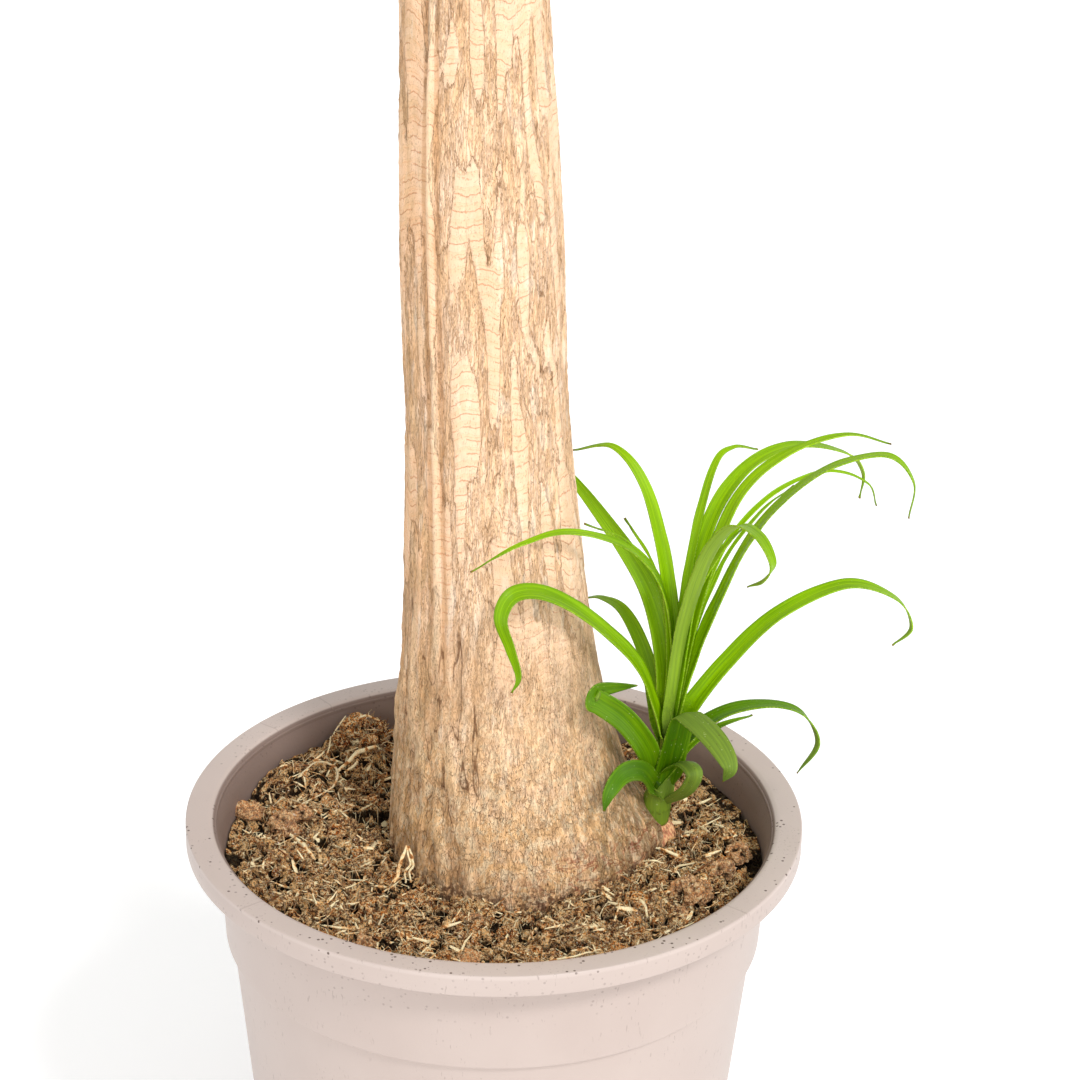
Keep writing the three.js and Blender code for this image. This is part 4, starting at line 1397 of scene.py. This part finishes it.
def crown_curve(i):
    """The spine of crown leaf number i: steep on the youngest leaves, and bent down under its own weight."""
    youth = i / (CROWN_LEAVES - 1)
    heading = math.radians(i * GOLDEN_TURN)
    length = lerp(470, 330, youth) * (1 + scatter(i + 1, 0.13))
    foot_slope = math.radians(lerp(8, 84, youth) + scatter(i + 201, 6))
    tip_slope = math.radians(lerp(-74, -38, youth) + scatter(i + 401, 12))
    sway = math.radians(scatter(i + 601, 24))
    _, lean = trunk_at(TRUNK_TOP)
    reach = CROWN_CORE_RADIUS * 0.72 * math.sqrt(max(0.0, 1 - youth))
    point = Vector(
        (
            lean + reach * math.cos(heading),
            TRUNK_Y + reach * math.sin(heading),
            TRUNK_TOP + 5 + (CROWN_CORE_HEIGHT - 14) * youth,
        )
    )
    points = [point.copy()]
    steps = 24
    for step in range(steps):
        along = (step + 0.5) / steps
        slope = lerp(foot_slope, tip_slope, along**1.5)
        turn = heading + sway * along * along
        flat = math.cos(slope)
        point += length / steps * Vector((flat * math.cos(turn), flat * math.sin(turn), math.sin(slope)))
        points.append(point.copy())
    return SmoothCurve(points), heading, youth


def make_crown():
    bm = bmesh.new()
    layers = blade_layers(bm)
    for i in range(CROWN_LEAVES):
        curve, heading, youth = crown_curve(i)
        width = CROWN_LEAF_WIDTH * lerp(0.85, 1.1, draw(i + 801))
        twist = math.radians(scatter(i + 901, 25))
        age = clamp(1.05 - youth + scatter(i + 41, 0.15))
        add_blade(
            bm, layers, curve, heading, width, lambda along: twist * along,
            age, (4, 40), cup=0.5, crease=0.6, ripple=0.6, seed=i,
        )
    bmesh.ops.reverse_faces(bm, faces=bm.faces)
    upper = leaf_finish("crown leaf, upper face", rgb(96, 148, 24), rgb(42, 88, 16))
    lower = leaf_finish("crown leaf, underside", rgb(104, 146, 36), rgb(60, 98, 32), True)
    leaves = new_piece("crown_leaves", bm, [upper, lower], ["crown"])
    thicken(leaves, LEAF_THICKNESS)


def make_crown_core():
    """The heart of the crown: the crowded feet of the leaves."""
    _, lean = trunk_at(TRUNK_TOP)
    bm = bmesh.new()
    layers = blade_layers(bm)
    radius = CROWN_CORE_RADIUS
    profile = [
        (0, 0), (radius * 0.94, 0), (radius, 13), (radius * 0.93, 22), (radius * 0.8, 31),
        (radius * 0.62, 40), (radius * 0.42, 47), (radius * 0.2, 51), (0, CROWN_CORE_HEIGHT),
    ]
    turned(bm, profile, 64)
    bmesh.ops.subdivide_edges(bm, edges=bm.edges, cuts=1, use_grid_fill=True)
    for vert in bm.verts:
        up = vert.co.z
        angle = math.atan2(vert.co.y, vert.co.x)
        scale = 1 + 0.05 * math.sin(angle * 13 + up / 3.2) * math.sin(up / 4.1 + angle * 5)
        vert.co.x *= scale
        vert.co.y *= scale
        side = 0.5 * math.sin(angle * 13 + up / 3.2)
        mark(vert, layers, side, 0.02 + up / 200, up, 6, clamp(0.9 - up / 60))
        vert.co += Vector((lean, TRUNK_Y, TRUNK_TOP + 0.3))
    bmesh.ops.recalc_face_normals(bm, faces=bm.faces)
    finish = leaf_finish("leaf feet", rgb(160, 176, 80), rgb(118, 106, 52))
    new_piece("crown_core", bm, [finish], ["crown"])


make_pot()
make_trunk()
make_soil()
make_crumbs()
make_lumps()
make_fibres()
make_chips()
make_rootlets()
make_stem()
make_husk()
make_sheaths()
make_shoot_leaves()
make_crown_core()
make_crown()


# ---------------------------------------------------------------- studio

# How bright the room is where it lights the object. The backdrop itself is 1.
ROOM_LIGHT = 0.76

# The lamps: name, turn about Z and lean from straight down in degrees, spread in degrees, strength.
LAMPS = [("key", 34, 44, 12, 1.5), ("front", 8, 80, 50, 0.95)]

# The camera that took the photo: turns in degrees, place in metres, lens and sensor in millimetres.
CAMERA_YAW = 0.754
CAMERA_PITCH = 25.111
CAMERA_ROLL = 1.2006
CAMERA_PLACE = (0, -1.47826, 1.08949)
CAMERA_LENS = 115.8
SENSOR_WIDTH = 36


def make_floor():
    floor = Finish("pale floor", Base_Color=(0.95, 0.95, 0.95, 1), Roughness=0.9, Emission_Strength=0.23)
    floor.shader.inputs["Emission Color"].default_value = (1, 1, 1, 1)
    mesh = bpy.data.meshes.new("studio_floor")
    bm = bmesh.new()
    bmesh.ops.create_grid(bm, x_segments=1, y_segments=1, size=40)
    bm.to_mesh(mesh)
    bm.free()
    ground = bpy.data.objects.new("studio_floor", mesh)
    bpy.context.scene.collection.objects.link(ground)
    grained = floor.grain(floor.place(), 40, 2)
    mesh.materials.append(floor.done(Roughness=0.88 + grained * 0.06))


def make_room():
    """The room's light: white where the camera looks past the object, and softer where it falls on it."""
    world = bpy.data.worlds.new("studio")
    bpy.context.scene.world = world
    world.use_nodes = True
    tree = world.node_tree
    paths = add_node(tree, "ShaderNodeLightPath", {}, {})
    level = add_node(
        tree,
        "ShaderNodeMapRange",
        {},
        {"Value": paths.outputs["Is Camera Ray"], "To Min": ROOM_LIGHT, "To Max": 1.0},
    )
    feed(tree, tree.nodes["Background"].inputs["Color"], (1, 1, 1, 1))
    feed(tree, tree.nodes["Background"].inputs["Strength"], level.outputs["Result"])


def make_lamps():
    for name, turn, lean, spread, strength in LAMPS:
        lamp = bpy.data.lights.new(name, "SUN")
        lamp.energy = strength
        lamp.angle = math.radians(spread)
        holder = bpy.data.objects.new(name, lamp)
        holder.rotation_euler = Euler((math.radians(lean), 0, math.radians(turn)))
        bpy.context.scene.collection.objects.link(holder)


def make_camera():
    yaw, pitch, roll = (math.radians(degrees) for degrees in (CAMERA_YAW, CAMERA_PITCH, CAMERA_ROLL))
    forward = Vector((math.sin(yaw) * math.cos(pitch), math.cos(yaw) * math.cos(pitch), -math.sin(pitch)))
    level = Vector((math.cos(yaw), -math.sin(yaw), 0))
    upright = level.cross(forward)
    right = math.cos(roll) * level + math.sin(roll) * upright
    up = -math.sin(roll) * level + math.cos(roll) * upright
    lens = bpy.data.cameras.new("camera")
    lens.sensor_width = SENSOR_WIDTH
    lens.lens = CAMERA_LENS
    lens.clip_end = 100
    camera = bpy.data.objects.new("camera", lens)
    axes = Matrix((right, up, -forward)).transposed().to_4x4()
    camera.matrix_world = Matrix.Translation(CAMERA_PLACE) @ axes
    bpy.context.scene.collection.objects.link(camera)
    bpy.context.scene.camera = camera


make_floor()
make_room()
make_lamps()
make_camera()
bpy.context.scene.view_settings.view_transform = "Standard"
